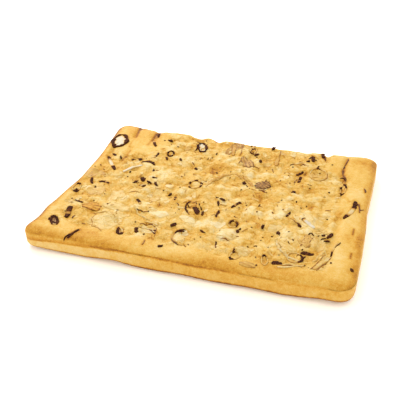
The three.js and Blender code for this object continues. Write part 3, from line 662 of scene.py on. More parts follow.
def crease_browning_and_shade(x, y, height):
    """Golden brown where the rim folds over the wall, strongest left of the middle: partly browning and
    partly painted shade of the crease.
    """
    fade = (1 - smooth(20.0, 130.0, x)) * (0.4 + 0.6 * smooth(-190.0, -150.0, x))
    rise = BAND_RISE * np.exp(-(((x + 60) / 90) ** 2))
    above = (height - crease_height(x, y) - BAND_AT - rise) / BAND_WIDTH
    return (0.14 + 0.18 * fade) * np.exp(-(above**2)) * front_share(x, y)


def rim_band(x, y, inset):
    """A faint second line just inside the rim, at the left."""
    on_rim = np.exp(-(((inset - 2.5) / 1.8) ** 2)) * np.exp(-(((x + 150) / 60) ** 2))
    return 0.06 * on_rim * front_share(x, y)


print("brown line over the crease, mm:", BAND_AT, "to", BAND_AT + BAND_RISE)


# %% Tone of the top
CRUMB_TONE, CRUST_TONE = 0.44, 0.48
# Lumps are paler the higher they stand: how much, and the height of a usual one.
LUMP_PALENESS, LUMP_USUAL = 0.13, 3.0
SMALL_LUMP_PALENESS, SMALL_LUMPS_USUAL = 0.14, (1.3, 0.5)
# Uneven browning: strength, pitch in mm and kind.
CRUMB_MOTTLE = [(0.27, 19, 71), (0.16, 8, 72)]
CRUST_MOTTLE = [(0.1, 31, 74), (0.07, 12, 75), (0.05, 5, 76)]
# The soft crumb stays golden: above this tone only a part of what goes past it counts.
CRUMB_GOLD, PAST_GOLD = 0.44, 0.3
FURROW_TONE, NEAR_BURNT_TONE, NEAR_ONION_TONE = 0.14, 0.1, 0.06


def crumb_tone(x, y):
    tone = CRUMB_TONE - LUMP_PALENESS * (lumps(x, y) - LUMP_USUAL) / LUMP_USUAL
    for (pitch, kind, rise), usual in zip(SMALL_LUMPS, SMALL_LUMPS_USUAL):
        tone -= SMALL_LUMP_PALENESS * (lumps(x, y, pitch, kind, rise, ()) - usual)
    tone += ripples(x, y, CRUMB_MOTTLE) + 0.1 * ripple(x, 2.2 * y, 4, 73)
    return np.where(tone > CRUMB_GOLD, CRUMB_GOLD + PAST_GOLD * (tone - CRUMB_GOLD), tone)


def crust_tone(x, y, inset):
    """Golden, and browner at the left of the edge, on the right edge and on the front left corner; the
    darkening at the left of the edge is partly browning and partly painted shade where the rim's roll turns
    down away from the light.
    """
    # Darker near the edge at the left and front: partly browning and partly painted shade where the rim's
    # roll turns down away from the light.
    left_edge_browning_and_shade = (1 - smooth(0.0, 14.0, inset)) * (1 - smooth(20.0, 130.0, x))
    right_edge = 1 - smooth(2.0, 11.0, HALF_LENGTH - x)
    left_rim = (1 - smooth(3.0, 17.0, inset)) * smooth(-145.0, -175.0, x) * smooth(-150.0, -130.0, y)
    return CRUST_TONE + ripples(x, y, CRUST_MOTTLE) + 0.16 * left_edge_browning_and_shade + 0.22 * right_edge + 0.3 * left_rim


def top_tone(x, y, share, inset, to_onion, to_burnt):
    tone = crumb_tone(x, y) * (1 - share) + crust_tone(x, y, inset) * share
    tone += sum(patch[4] * blob(x, y, patch) for patch in TONE_PATCHES)
    tone += sum(stroke[5] * stroke_share(x, y, stroke) for stroke in BROWN_STROKES)
    tone += FURROW_TONE * np.minimum(furrow_depth(x, y) / 2.4, 1.0)
    tone += NEAR_BURNT_TONE * np.exp(-((np.maximum(to_burnt, 0) / 1.5) ** 2))
    tone += NEAR_ONION_TONE * np.exp(-(((to_onion - 0.6) / 1.2) ** 2))
    return tone + rim_band(x, y, inset)


print("tone of the crumb at the middle:", round(float(crumb_tone(np.zeros(1), np.zeros(1))[0]), 2))


# %% Tone of the wall
def wall_tone(x, y, height):
    """Pale under the crease, golden above it, with the brown line of browning and painted crease shade, and
    brown at the foot: partly browning where the dough touched the tray and partly painted contact shadow.
    """
    crease, lift = crease_height(x, y), base_lift(x, y)
    around = x + 0.7 * y
    below = 0.31 + 0.22 * smooth(-140.0, 20.0, x)
    below += 0.08 * ripple(around, height * 1.6, 9, 81) + 0.06 * ripple(around, height, 3, 83)
    above = 0.63 - 0.1 * smooth(-20.0, 120.0, x) + 0.06 * ripple(around, height * 1.6, 9, 82)
    over = smooth(crease - 0.4, crease + 1.8, height)
    # The foot's brown is partly browning where the dough touched the tray and partly painted contact shadow;
    # the lowest part of the wall is also drawn a little darker.
    foot = 0.12 * (1 - smooth(3.0, 8.0, height)) + 0.85 * (1 - smooth(lift + 1.2, lift + 3.4, height))
    return below * (1 - over) + above * over + crease_browning_and_shade(x, y, height) + foot


print("tone in the middle of the front wall:", round(float(wall_tone(0.0, -HALF_WIDTH, 12.0)), 2))

# %% [markdown]
# ## Materials
# Colours are written as the hex values a paint program shows and turned to linear light here. One small
# function adds any node with its settings and links; the rest is plain sums. Every food here is one
# principled shader: a tone, kept on the mesh, picks the colour from a ramp, and a fine pattern moves the tone
# a little and makes the bump, so that colour and relief go together as they do on baked food.

# %% Colours and nodes
def linear(code):
    """An sRGB hex value as linear red, green, blue and alpha."""
    parts = [int(code[i:i + 2], 16) / 255 for i in (1, 3, 5)]
    return tuple(p / 12.92 if p <= 0.04045 else ((p + 0.055) / 1.055) ** 2.4 for p in parts) + (1.0,)


def add_node(tree, kind, settings=None, inputs=None):
    """One node with its settings; an input is a value or the output socket that feeds it."""
    node = tree.nodes.new("ShaderNode" + kind)
    for name, value in (settings or {}).items():
        setattr(node, name, value)
    for name, value in (inputs or {}).items():
        if isinstance(value, bpy.types.NodeSocket):
            tree.links.new(value, node.inputs[name])
        else:
            node.inputs[name].default_value = value
    return node


def weighted(tree, start, *terms):
    """A start plus values times their weights; each may be a number or an output socket."""
    for value, weight in terms:
        inputs = {0: value, 1: weight, 2: start}
        start = add_node(tree, "Math", {"operation": "MULTIPLY_ADD"}, inputs).outputs[0]
    return start


def grain_of(place, size_mm, detail, roughness):
    """Inputs of a noise whose spots are about this many millimetres across."""
    return {"Vector": place, "Scale": 1.0 / (size_mm * METRE), "Detail": detail, "Roughness": roughness}


print("half-bright grey in linear light:", round(linear("#808080")[0], 2))


# %% A food's shader
# Red light wanders farthest in bread and onion, blue least.
SPREAD_BY_COLOUR = (1.0, 0.5, 0.22)


def new_material(name, roughness, ior, gloss, spread, spread_mm):
    """A principled material; spread is the share of light that wanders below the surface."""
    material = bpy.data.materials.new(name)
    material.use_nodes = True
    values = {
        "Roughness": roughness, "IOR": ior, "Specular IOR Level": gloss, "Subsurface Weight": spread,
        "Subsurface Radius": SPREAD_BY_COLOUR, "Subsurface Scale": spread_mm * METRE,
    }
    for label, value in values.items():
        material.node_tree.nodes["Principled BSDF"].inputs[label].default_value = value
    return material


def place_and_tone(tree):
    """Sockets of the place in metres and of the tone kept on the mesh."""
    place = add_node(tree, "TexCoord").outputs["Object"]
    return place, add_node(tree, "Attribute", {"attribute_name": "tone"}).outputs["Fac"]


def colour_and_bump(tree, share, stops, relief, strength, relief_mm):
    """Colour picked from a ramp by a share, and a bump of a relief this high."""
    ramp = add_node(tree, "ValToRGB", inputs={"Fac": share})
    elements = ramp.color_ramp.elements
    while len(elements) < len(stops):
        elements.new(0.5)
    for element, (position, code) in zip(elements, stops):
        element.position = position
        element.color = linear(code)
    bump = add_node(tree, "Bump", inputs={
        "Strength": strength, "Distance": relief_mm * METRE, "Height": relief})
    shader = tree.nodes["Principled BSDF"]
    tree.links.new(ramp.outputs["Color"], shader.inputs["Base Color"])
    tree.links.new(bump.outputs["Normal"], shader.inputs["Normal"])


print("red light spreads", round(SPREAD_BY_COLOUR[0] / SPREAD_BY_COLOUR[2], 1), "times as far as blue")

# %% [markdown]
# ## Baked wheat crust
# Crust is starch and sugar browned by dry heat: a matt to satin skin that lets a little light spread below
# it, pale cream where it stayed moist and brown where it stood out. In the crumb thin skins of onion and
# dough overlap in layers a finger wide. An image would bring one loaf's own spots; here cells with bent
# sides stand for the layers, each a little lighter or darker, with a soft step at its edge.

# %% Overlapping layers
# About how wide a layer is, of the two sizes that lie over each other.
WIDE_LAYER_MM, SMALL_LAYER_MM = 11.0, 5.5


def layer_cells(tree, place, size_mm):
    """A number for each layer, and the line at its edge."""
    scale = 1.0 / (size_mm * METRE)
    bend = add_node(tree, "TexNoise", inputs={"Vector": place, "Scale": 1.6 * scale, "Detail": 2.0})
    bent = add_node(tree, "VectorMath", {"operation": "MULTIPLY_ADD"}, {
        0: bend.outputs["Color"], 1: (0.9 * size_mm * METRE,) * 3, 2: place}).outputs[0]
    inputs = {"Vector": bent, "Scale": scale}
    cells = add_node(tree, "TexVoronoi", {"feature": "F1"}, inputs)
    edges = add_node(tree, "TexVoronoi", {"feature": "DISTANCE_TO_EDGE"}, inputs)
    number = add_node(tree, "SeparateColor", inputs={"Color": cells.outputs["Color"]}).outputs[0]
    line = add_node(tree, "MapRange", {"interpolation_type": "SMOOTHSTEP"}, {
        "Value": edges.outputs["Distance"], "From Min": 0.0, "From Max": 0.14, "To Min": 1.0, "To Max": 0.0})
    return number, line.outputs["Result"]


print("layers about", WIDE_LAYER_MM, "and", SMALL_LAYER_MM, "mm wide")


# %% Baked wheat crust
CRUST_STOPS = [
    (0.0, "#D1BD8C"), (0.22, "#CFB170"), (0.5, "#C69C47"), (0.72, "#B88224"), (0.88, "#9B6417"),
    (1.0, "#6F4010"),
]
# Starch grain and tiny blisters: real ones are about 0.5 mm, drawn at 1.2 and 3.5 mm so that they show.
GRAIN_MM, BLISTER_MM = 1.2, 3.5
GRAIN_TONE, BLISTER_TONE = 0.58, 0.42
WIDE_LAYER_TONE, SMALL_LAYER_TONE = 0.14, 0.12


def baked_wheat_crust():
    material = new_material(
        "baked_wheat_crust", roughness=0.55, ior=1.4, gloss=0.2, spread=0.06, spread_mm=1.2)
    tree = material.node_tree
    place, tone = place_and_tone(tree)
    crumb = add_node(tree, "Attribute", {"attribute_name": "crumb"}).outputs["Fac"]
    grain = add_node(tree, "TexNoise", inputs=grain_of(place, GRAIN_MM, 3.0, 0.65)).outputs["Fac"]
    blisters = add_node(tree, "TexNoise", inputs=grain_of(place, BLISTER_MM, 3.0, 0.6)).outputs["Fac"]
    wide_layer, wide_line = layer_cells(tree, place, WIDE_LAYER_MM)
    small_layer, small_line = layer_cells(tree, place, SMALL_LAYER_MM)
    # The layers' edges show in some places only.
    where = add_node(tree, "TexNoise", inputs=grain_of(place, 9.0, 2.0, 0.5)).outputs["Fac"]
    shown = add_node(tree, "MapRange", inputs={"Value": where, "From Min": 0.42, "From Max": 0.6})
    lines = weighted(tree, 0.0, (wide_line, 0.3), (small_line, 0.16))
    layers = weighted(
        tree, -(WIDE_LAYER_TONE + SMALL_LAYER_TONE) / 2, (wide_layer, WIDE_LAYER_TONE),
        (small_layer, SMALL_LAYER_TONE), (weighted(tree, 0.0, (lines, shown.outputs["Result"])), 0.6),
    )
    share = weighted(
        tree, -(GRAIN_TONE + BLISTER_TONE) / 2, (tone, 1.0), (grain, GRAIN_TONE), (blisters, BLISTER_TONE),
        (layers, crumb),
    )
    steps = weighted(tree, 0.0, (wide_layer, 0.9), (small_layer, 0.5), (lines, -1.2))
    relief = weighted(tree, 0.0, (grain, 0.45), (blisters, 1.0), (steps, crumb))
    colour_and_bump(tree, share, CRUST_STOPS, relief, strength=0.9, relief_mm=0.9)
    return material


CRUST = baked_wheat_crust()
print("crust:", len(CRUST.node_tree.nodes), "nodes")

# %% [markdown]
# ## The skin of the bread
# Crust and crumb are one skin, dry and golden at the rim, moist and lumpy in the middle. A flat grid cut off
# at the outline would leave slivers there. Here a square grid is laid over the tray's rounded shape, so its
# cells stay even, and rings go on down the wall to a flat base. The points lie closer together towards the
# rim, where the surface bends most.

# %% Helper that makes a mesh piece
def new_piece(name, points, faces, materials, values, chars=None):
    """Points in mm. Values are kept on the points for the shader; burnt faces take the second material."""
    mesh = bpy.data.meshes.new(name)
    mesh.from_pydata((np.asarray(points) * METRE).tolist(), [], faces)
    for label, numbers in values.items():
        layer = mesh.attributes.new(label, "FLOAT", "POINT")
        layer.data.foreach_set("value", np.asarray(numbers, dtype=np.float32))
    for material in materials:
        mesh.materials.append(material)
    if chars is not None:
        burnt = [int(sum(chars[corner] for corner in face) > 0.5 * len(face)) for face in faces]
        mesh.polygons.foreach_set("material_index", burnt)
    mesh.polygons.foreach_set("use_smooth", [True] * len(mesh.polygons))
    mesh.update()
    piece = bpy.data.objects.new(name, mesh)
    bpy.context.scene.collection.objects.link(piece)
    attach(piece, "root")
    print(name, "points:", len(mesh.vertices), "faces:", len(mesh.polygons))
    return piece


# %% Grid of the top
CELLS_LONG, CELLS_WIDE = 320, 240
# The grid ends this far inside the outline; the rim's round goes on down the wall.
TOP_INSET = 1.4
# How much closer the grid's lines lie towards the rim.
GRID_EASE = 0.85


def eased(count):
    return np.sin(GRID_EASE * np.linspace(-1, 1, count + 1)) / math.sin(GRID_EASE)


def rim_loop(columns, rows):
    """Grid numbers of the top's edge, once round from the front left corner."""
    front = [(i, 0) for i in range(columns)]
    right = [(columns, j) for j in range(rows)]
    back = [(i, rows) for i in range(columns, 0, -1)]
    left = [(0, j) for j in range(rows, 0, -1)]
    return front + right + back + left


def placed(u, v, inset):
    """Place on the bread, and on the tray, of a point of the square laid over the sheet."""
    tray_x, tray_y = on_sheet(u, v, inset)
    in_x, in_y = shift_from_tray(tray_x, tray_y)
    return tray_x + in_x, tray_y + in_y, tray_x, tray_y


def bread_top():
    grid_u, grid_v = np.meshgrid(eased(CELLS_LONG), eased(CELLS_WIDE))
    u, v = grid_u.ravel(), grid_v.ravel()
    x, y, tray_x, tray_y = placed(u, v, TOP_INSET)
    inset = edge_distance(tray_x, tray_y)
    share = crust_share(tray_x, tray_y)
    to_onion, to_burnt = onion_fields(x, y)
    height = top_height(x, y)
    tone = top_tone(x, y, share, inset, to_onion, to_burnt)
    height = height + fine_relief(x, y, share, inset, to_onion)
    wide = CELLS_LONG + 1
    corner = (np.arange(CELLS_WIDE)[:, None] * wide + np.arange(CELLS_LONG)).ravel()
    faces = np.stack([corner, corner + 1, corner + wide + 1, corner + wide], axis=1)
    return u, v, np.stack([x, y, height], axis=1), tone, 1 - share, faces.tolist()


print("widest cell of the grid, mm:", round(float(np.diff(eased(CELLS_LONG)).max()) * HALF_LENGTH, 2))


# %% Wall, base and the whole skin
# Roughness of the wall: strength in mm, how much finer down the wall than along it, pitch and kind.
WALL_ROUGHNESS = [(0.25, 2.0, 9, 91), (0.12, 1.5, 3.5, 92)]


def wall_roughness(around, height):
    rows = [size * ripple(around, height * finer, pitch, kind) for size, finer, pitch, kind in WALL_ROUGHNESS]
    return sum(rows) * smooth(0.5, 4.0, height)


def bread_skin():
    u, v, points, tone, crumb, faces = bread_top()
    wide = CELLS_LONG + 1
    above = np.array([j * wide + i for i, j in rim_loop(CELLS_LONG, CELLS_WIDE)])
    rim_u, rim_v = u[above], v[above]
    outline_x, outline_y, _, _ = placed(rim_u, rim_v, np.zeros_like(rim_u))
    around = outline_x + 0.6 * outline_y
    points, tone = [points], [tone]
    count = len(points[0])
    for inset, height in wall_knots(outline_x, outline_y):
        x, y, _, _ = placed(rim_u, rim_v, inset + wall_roughness(around, height))
        points.append(np.stack([x, y, height], axis=1))
        tone.append(wall_tone(x, y, height))
        ring = count + np.arange(len(above))
        faces += np.stack([above, ring, np.roll(ring, -1), np.roll(above, -1)], axis=1).tolist()
        above, count = ring, count + len(ring)
    faces.append(above.tolist()[::-1])
    points, tone = np.concatenate(points), np.concatenate(tone)
    crumb = np.concatenate([crumb, np.zeros(len(points) - len(crumb))])
    return new_piece("bread_skin", points, faces, [CRUST], {"tone": tone, "crumb": crumb})


bread_skin_piece = bread_skin()
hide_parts("bread")

# %% [markdown]
# ## Roast, soft and burnt onion
# Onion is wet cell tissue. Where it dried it is cream to amber with fibres along it; where it stayed wet it
# is clear, so that the dough below tints it, and a little glossy; where its sugar burnt off it is carbon,
# nearly black with a brown cast, dull and crumbly. Glass with absorption could make the wet one, but skins
# this thin would need many samples, so it is a tinted skin with a spread of light.

# %% Roast onion
# Tone of onion: 0 cream, 0.5 amber, 0.8 brown, 1 dark brown next to char.
ONION_STOPS = [
    (0.0, "#C0B49D"), (0.12, "#BFA775"), (0.28, "#BE9D56"), (0.5, "#B08132"), (0.75, "#89581C"),
    (0.9, "#5C310D"), (1.0, "#3C1E07"),
]


def onion_tissue(material, stops, vein_mm, vein_tone, relief_mm):
    """Tissue whose veins move the tone; real veins are about 0.5 mm, drawn coarser so that they show."""
    tree = material.node_tree
    place, tone = place_and_tone(tree)
    veins = add_node(tree, "TexNoise", inputs=grain_of(place, vein_mm, 3.0, 0.6)).outputs["Fac"]
    share = weighted(tree, -vein_tone / 2, (tone, 1.0), (veins, vein_tone))
    colour_and_bump(tree, share, stops, veins, strength=0.6, relief_mm=relief_mm)
    return material


ROAST_ONION = onion_tissue(
    new_material("roast_onion", roughness=0.4, ior=1.38, gloss=0.25, spread=0.2, spread_mm=1.5),
    ONION_STOPS, vein_mm=1.5, vein_tone=0.4, relief_mm=0.4,
)
print("roast onion:", len(ROAST_ONION.node_tree.nodes), "nodes")

# %% Soft clear onion
SOFT_STOPS = [
    (0.0, "#CDBA8D"), (0.22, "#C9AD70"), (0.42, "#BC964A"), (0.58, "#AD823D"), (0.74, "#976C30"),
    (0.88, "#6B461D"), (1.0, "#412309"),
]
SOFT_ONION = onion_tissue(
    new_material("soft_onion", roughness=0.4, ior=1.38, gloss=0.2, spread=0.1, spread_mm=1.5),
    SOFT_STOPS, vein_mm=2.2, vein_tone=0.5, relief_mm=0.5,
)
print("soft onion:", len(SOFT_ONION.node_tree.nodes), "nodes")

# %% Charred onion
# Thin places of char stay brown, so the ramp ends in brown.
CHAR_STOPS = [(0.3, "#1C0D07"), (0.52, "#38190B"), (0.66, "#6A3A18"), (0.8, "#9A6228")]
CHAR_CRUMB_MM = 1.3


def charred_onion():
    material = new_material("charred_onion", roughness=0.75, ior=1.5, gloss=0.06, spread=0.0, spread_mm=1.0)
    tree = material.node_tree
    place = add_node(tree, "TexCoord").outputs["Object"]
    crumbs = add_node(tree, "TexNoise", inputs=grain_of(place, CHAR_CRUMB_MM, 2.0, 0.6)).outputs["Fac"]
    colour_and_bump(tree, crumbs, CHAR_STOPS, crumbs, strength=0.8, relief_mm=0.6)
    return material


CHARRED_ONION = charred_onion()
print("charred onion:", len(CHARRED_ONION.node_tree.nodes), "nodes")

# %% [markdown]
# ## Ribbons
# A slice through an onion falls apart into thin bands. Each band is a flat strip with rounded edges that
# lies half sunk in the dough, and its ends are burnt. A curve with a bevel would keep one
# width from end to end, so the band is swept along its arc here, with its own width at every step.

# %% Faces between rings of points
def band_faces(rings, sides, joined_up=False):
    """Quads from ring to ring; the last ring meets the first when joined up."""
    faces = []
    for ring in range(rings if joined_up else rings - 1):
        low, high = ring * sides, (ring + 1) % rings * sides
        for side in range(sides):
            after = (side + 1) % sides
            faces.append([low + side, low + after, high + after, high + side])
    return faces


def flat_ends(rings, sides):
    """The two end faces of an open band."""
    return [list(range(sides))[::-1], list(range((rings - 1) * sides, rings * sides))]


def pole_fans(rings, sides):
    """Triangles that close the first and last ring with two points after them: one under, one over."""
    under, over, last = rings * sides, rings * sides + 1, (rings - 1) * sides
    faces = []
    for side in range(sides):
        after = (side + 1) % sides
        faces += [[under, after, side], [over, last + side, last + after]]
    return faces


print("faces of a band with 3 rings of 4 points:", len(band_faces(3, 4) + flat_ends(3, 4)))


# %% A band swept along a line
SECTION_SIDES = 10


def band_section(sides=SECTION_SIDES):
    """Unit section of a band: flat with round edges, once round."""
    angle = np.linspace(0, 2 * np.pi, sides, endpoint=False)
    across = np.sign(np.cos(angle)) * np.abs(np.cos(angle)) ** 0.5
    up = np.sign(np.sin(angle)) * np.abs(np.sin(angle)) ** 0.7
    return across, up


def swept(x, y, lead, half, thick, bed, sides=SECTION_SIDES):
    """A band along a line of places: half its width, half its thickness and the height it lies at."""
    across, up = band_section(sides)
    aside = half[:, None] * across
    return np.stack([
        x[:, None] - aside * np.sin(lead)[:, None],
        y[:, None] + aside * np.cos(lead)[:, None],
        bed[:, None] + thick[:, None] * up,
    ], axis=2).reshape(-1, 3)


def joined(meshes):
    """Several meshes of one kind put in one: points, faces, tones and burnt shares."""
    points, tones, chars, faces, first = [], [], [], [], 0
    for part_points, part_tone, part_char, part_faces in meshes:
        points.append(part_points)
        tones.append(part_tone)
        chars.append(part_char)
        faces += [[first + corner for corner in face] for face in part_faces]
        first += len(part_points)
    return np.concatenate(points), faces, np.concatenate(tones), np.concatenate(chars)


def onion_piece(name, meshes, materials):
    points, faces, tones, chars = joined(meshes)
    return new_piece(name, points, faces, materials, {"tone": tones}, chars)


print("widest place of the section, in half widths:", round(float(np.ptp(band_section()[0])), 1))


# %% Ribbons
RIBBON_THICKNESS = 2.4
RIBBON_STEP = 0.7
BURNT_TONE = 0.85


def burnt_ends(ribbon, share, inward, outward):
    """1 at a ribbon's burnt ends, fading from outward to inward of where the burn stops."""
    start, end = ribbon.burnt_start, ribbon.burnt_end
    at_start = smooth(start + inward, start - outward, share) * (start > 0)
    at_end = smooth(1 - end - inward, 1 - end + outward, share) * (end > 0)
    return np.maximum(at_start, at_end)


def ribbon_mesh(ribbon, number):
    count = max(10, round(ribbon.length / RIBBON_STEP))
    distance = np.linspace(-ribbon.length / 2, ribbon.length / 2, count)
    x, y, lead = along_ribbon(ribbon, distance)
    part, share = 2 * distance / ribbon.length, 0.5 + distance / ribbon.length
    burnt, near_char = burnt_ends(ribbon, share, 0.03, 0.03), burnt_ends(ribbon, share, 0.16, 0.02)
    # Each ribbon reads its own stretch of the ripples, so no two have the same edge.
    key = distance + 40.0 * number
    wave, jag, ragged = (ripple(key, 0 * key, pitch, kind) for pitch, kind in [(5, 11), (2.2, 13), (3, 15)])
    half = (ribbon.width / 2) * np.sqrt(1.0 - 0.75 * part**10) * (1 - 0.2 * part**4)
    half = half * (1 + 0.14 * wave + (0.1 + 0.22 * burnt) * jag)
    thick = (RIBBON_THICKNESS / 2) * np.sqrt(1.0 - 0.8 * part**10) * (1 + 0.2 * jag)
    off = 0.35 * wave + 0.3 * burnt * jag
    x, y = x - off * np.sin(lead), y + off * np.cos(lead)
    points = swept(x, y, lead, half, thick, top_height(x, y))
    flesh = ribbon.tone + 0.1 * ripple(distance + 17 * number, 0 * distance, 8, 12)
    tone = flesh * (1 - near_char) + BURNT_TONE * near_char
    across, up = band_section()
    tone = tone[:, None] + 0.3 * np.maximum(np.abs(across) - 0.55, 0) - 0.1 * np.maximum(up, 0)
    burnt = np.repeat(burnt + 0.03 * ragged, SECTION_SIDES)
    faces = band_faces(count, SECTION_SIDES) + flat_ends(count, SECTION_SIDES)
    return points, tone.ravel(), burnt, faces


ribbon_meshes = [ribbon_mesh(ribbon, number) for number, ribbon in enumerate(RIBBONS)]
ribbon_piece = onion_piece("onion_ribbons", ribbon_meshes, [ROAST_ONION, CHARRED_ONION])
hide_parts(*["onion_" + ribbon.name for ribbon in RIBBONS])

# %% [markdown]
# ## Rings
# Where a slice stayed whole it lies as a ring, often just its outermost band. A torus would be as even as
# rubber; real rings have corners, thick and thin places and scorched sides. So each ring is a closed band
# round an oval, with a few slow waves in its width and its line.

# %% Rings
RING_THICKNESS = 2.6
RING_TONE = 0.42
# Next to its burnt sides a ring is brown for some degrees more.
SCORCH_SPREAD = 4


def ring_mesh(ring, number):
    _, at_x, at_y, half_x, half_y, turn, width, spots = ring
    steps = round(2 * math.pi * math.hypot(half_x, half_y) / 1.4 / RIBBON_STEP)
    angle = np.linspace(0, 2 * np.pi, steps, endpoint=False)
    burnt = burnt_share(spots, np.degrees(angle))
    near_char = burnt_share([(middle, spread + SCORCH_SPREAD) for middle, spread in spots], np.degrees(angle))
    wave = np.sin(3 * angle + number) * 0.5 + np.sin(7 * angle + 2 * number) * 0.3
    jag = np.sin(11 * angle + 3 * number) * 0.6 + np.sin(17 * angle + number) * 0.4
    across, up = band_section()
    wide = (width / 2) * (0.62 + 0.2 * wave + burnt * (0.2 + 0.25 * jag))
    off = 0.3 * wave + 0.35 * burnt * jag
    out = off[:, None] + wide[:, None] * across
    lift = (RING_THICKNESS / 2) * (1 + 0.15 * jag)[:, None] * up
    cos, sin = np.cos(angle)[:, None], np.sin(angle)[:, None]
    x, y = turned(cos * (half_x + out), sin * (half_y + out), at_x, at_y, turn)
    middle_x, middle_y = turned(cos * half_x, sin * half_y, at_x, at_y, turn)
    points = np.stack([x, y, top_height(middle_x, middle_y) + lift], axis=2).reshape(-1, 3)
    tone = (RING_TONE + 0.16 * wave) * (1 - near_char) + BURNT_TONE * near_char
    tone = tone[:, None] + 0.2 * np.maximum(np.abs(across) - 0.5, 0) - 0.12 * np.maximum(up, 0)
    faces = band_faces(steps, SECTION_SIDES, joined_up=True)
    return points, tone.ravel(), np.repeat(burnt, SECTION_SIDES), faces


ring_meshes = [ring_mesh(ring, number) for number, ring in enumerate(RINGS)]
ring_piece = onion_piece("onion_rings", ring_meshes, [ROAST_ONION, CHARRED_ONION])
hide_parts(*["onion_" + ring[0] for ring in RINGS])

# %% [markdown]
# ## Cups
# A cup is the end slice of an onion: its rim stood up in the oven and burnt black, its hollow stayed pale.
# A lathe would turn a perfect dish. Here a lathe's section is carried round an oval instead, and pushed in
# and out as it goes, so the rim has the corners of torn skin.

# %% Cups
CUP_SIDES = 56
# The section is drawn for a cup with this least half-axis; a smaller cup has a slimmer rim.
CUP_REACH = 10.5
# The hollow never closes nearer to the middle than this.
LEAST_HOLLOW = 1.2
# From the middle of the underside, out over the rim and in to the floor: reach in mm from the rim, height,
# tone and burnt share.
CUP_SECTION = [
    (-4.5, -1.3, 0.3, 0.0), (-1.0, -1.0, 0.8, 1.0), (0.0, 0.3, 0.8, 1.0), (-0.2, 1.6, 0.8, 1.0),
    (-1.3, 2.3, 0.8, 1.0), (-2.6, 2.0, 0.8, 1.0), (-3.6, 1.2, 0.8, 0.9), (-4.3, 0.6, 0.7, 0.2),
    (-5.0, 0.5, 0.1, 0.0), (-7.0, 0.5, 0.0, 0.0),
]
# Height over the dough and tone of the middle of the underside and of the floor.
CUP_POLES = [(-1.3, 0.3), (0.9, 0.02)]


def cup_mesh(cup, number):
    _, at_x, at_y, half_x, half_y, turn = cup
    angle = np.linspace(0, 2 * np.pi, CUP_SIDES, endpoint=False)
    corners = np.cos(6 * angle + 0.4 + number)
    uneven = 0.5 * np.sin(2 * angle + 1.0 + number) + 0.5 * corners + 0.3 * np.sin(11 * angle)
    points = []
    for reach, up, _, burnt in CUP_SECTION:
        reach *= min(half_x, half_y) / CUP_REACH
        inner = reach * (1 + 0.3 * uneven) if reach < -2 else reach - 0.5 + 0.9 * corners + 0.3 * uneven
        wide, deep = (np.maximum(half + inner, LEAST_HOLLOW) for half in (half_x, half_y))
        x, y = turned(np.cos(angle) * wide, np.sin(angle) * deep, at_x, at_y, turn)
        lift = up + (0.4 * uneven if burnt > 0 and up > 1 else 0.0)
        points.append(np.stack([x, y, top_height(x, y) + lift], axis=1))
    points += [[[at_x, at_y, float(top_height(at_x, at_y)) + lift]] for lift, _ in CUP_POLES]
    tones, chars = (np.repeat([row[column] for row in CUP_SECTION], CUP_SIDES) for column in (2, 3))
    levels = len(CUP_SECTION)
    tones, chars = np.append(tones, [tone for _, tone in CUP_POLES]), np.append(chars, [0, 0])
    return np.concatenate(points), tones, chars, band_faces(levels, CUP_SIDES) + pole_fans(levels, CUP_SIDES)


cup_meshes = [cup_mesh(cup, number) for number, cup in enumerate(CUPS)]
cup_piece = onion_piece("onion_cups", cup_meshes, [ROAST_ONION, CHARRED_ONION])
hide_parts(*["onion_" + cup[0] for cup in CUPS])

# %% [markdown]
# ## Petals
# A petal is a soft outer layer that sank into the dough until only a brownish clear patch shows, with veins
# along it. Paint on the dough would lack its edge, so each is a flat lens with a wavy outline and low
# ridges for the veins.

# %% Petals
PETAL_THICKNESS = 1.8
PETAL_RINGS, PETAL_SIDES = 9, 40
# How fast the veins' wave turns, in radians a millimetre, and how high the ridges stand in mm.
PETAL_VEINS, VEIN_RISE = 1.3, 0.18
PETAL_TONE = 0.5
# How much browner each petal is than the paler ones.
PETAL_SHADES = [0.16, 0.3, 0.0, 0.04, 0.24]
# The one petal that lies under a browned film of dough.
FILMED_PETAL = "petal_left"


def petal_mesh(petal, number):
    name, at_x, at_y, half_x, half_y, turn = petal
    angle = np.linspace(0, 2 * np.pi, PETAL_SIDES, endpoint=False)
    edge = 1 + 0.07 * np.sin(3 * angle + number) + 0.05 * np.sin(7 * angle)
    middle_tone = PETAL_TONE + PETAL_SHADES[number]
    points, tones = [], []
    for climb in np.linspace(-1, 1, PETAL_RINGS + 2)[1:-1]:
        radius = math.cos(climb * math.pi / 2) ** 0.6
        off_x, off_y = radius * edge * half_x * np.cos(angle), radius * edge * half_y * np.sin(angle)
        x, y = turned(off_x, off_y, at_x, at_y, turn)
        vein = np.sin(PETAL_VEINS * off_y + 0.25 * off_x + number)
        lift = math.sin(climb * math.pi / 2) * PETAL_THICKNESS / 2 + VEIN_RISE * vein
        points.append(np.stack([x, y, top_height(x, y) + lift], axis=1))
        tones.append(middle_tone + 0.14 * vein + 0.18 * smooth(0.8, 0.98, radius))
    middle = float(top_height(at_x, at_y))
    points += [[[at_x, at_y, middle + way * PETAL_THICKNESS / 2]] for way in (-1, 1)]
    points, tones = np.concatenate(points), np.append(np.concatenate(tones), [middle_tone, middle_tone])
    faces = band_faces(PETAL_RINGS, PETAL_SIDES) + pole_fans(PETAL_RINGS, PETAL_SIDES)
    return points, tones, np.full(len(points), float(name == FILMED_PETAL)), faces


petal_meshes = [petal_mesh(petal, number) for number, petal in enumerate(PETALS)]
petal_piece = onion_piece("onion_petals", petal_meshes, [SOFT_ONION, CRUST])
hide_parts(*["onion_" + petal[0] for petal in PETALS])

# %% [markdown]
# ## Thin slices sunk in the crumb
# Between the larger pieces the crumb is full of onion no thicker than paper: clear ovals with a browned
# edge. They are real skins here that lie a fraction of a millimetre above the dough and dive into it at
# their edge, because a painted oval would have neither the step nor the gloss. The largest are placed where
# they show; the small ones follow a seeded draw.

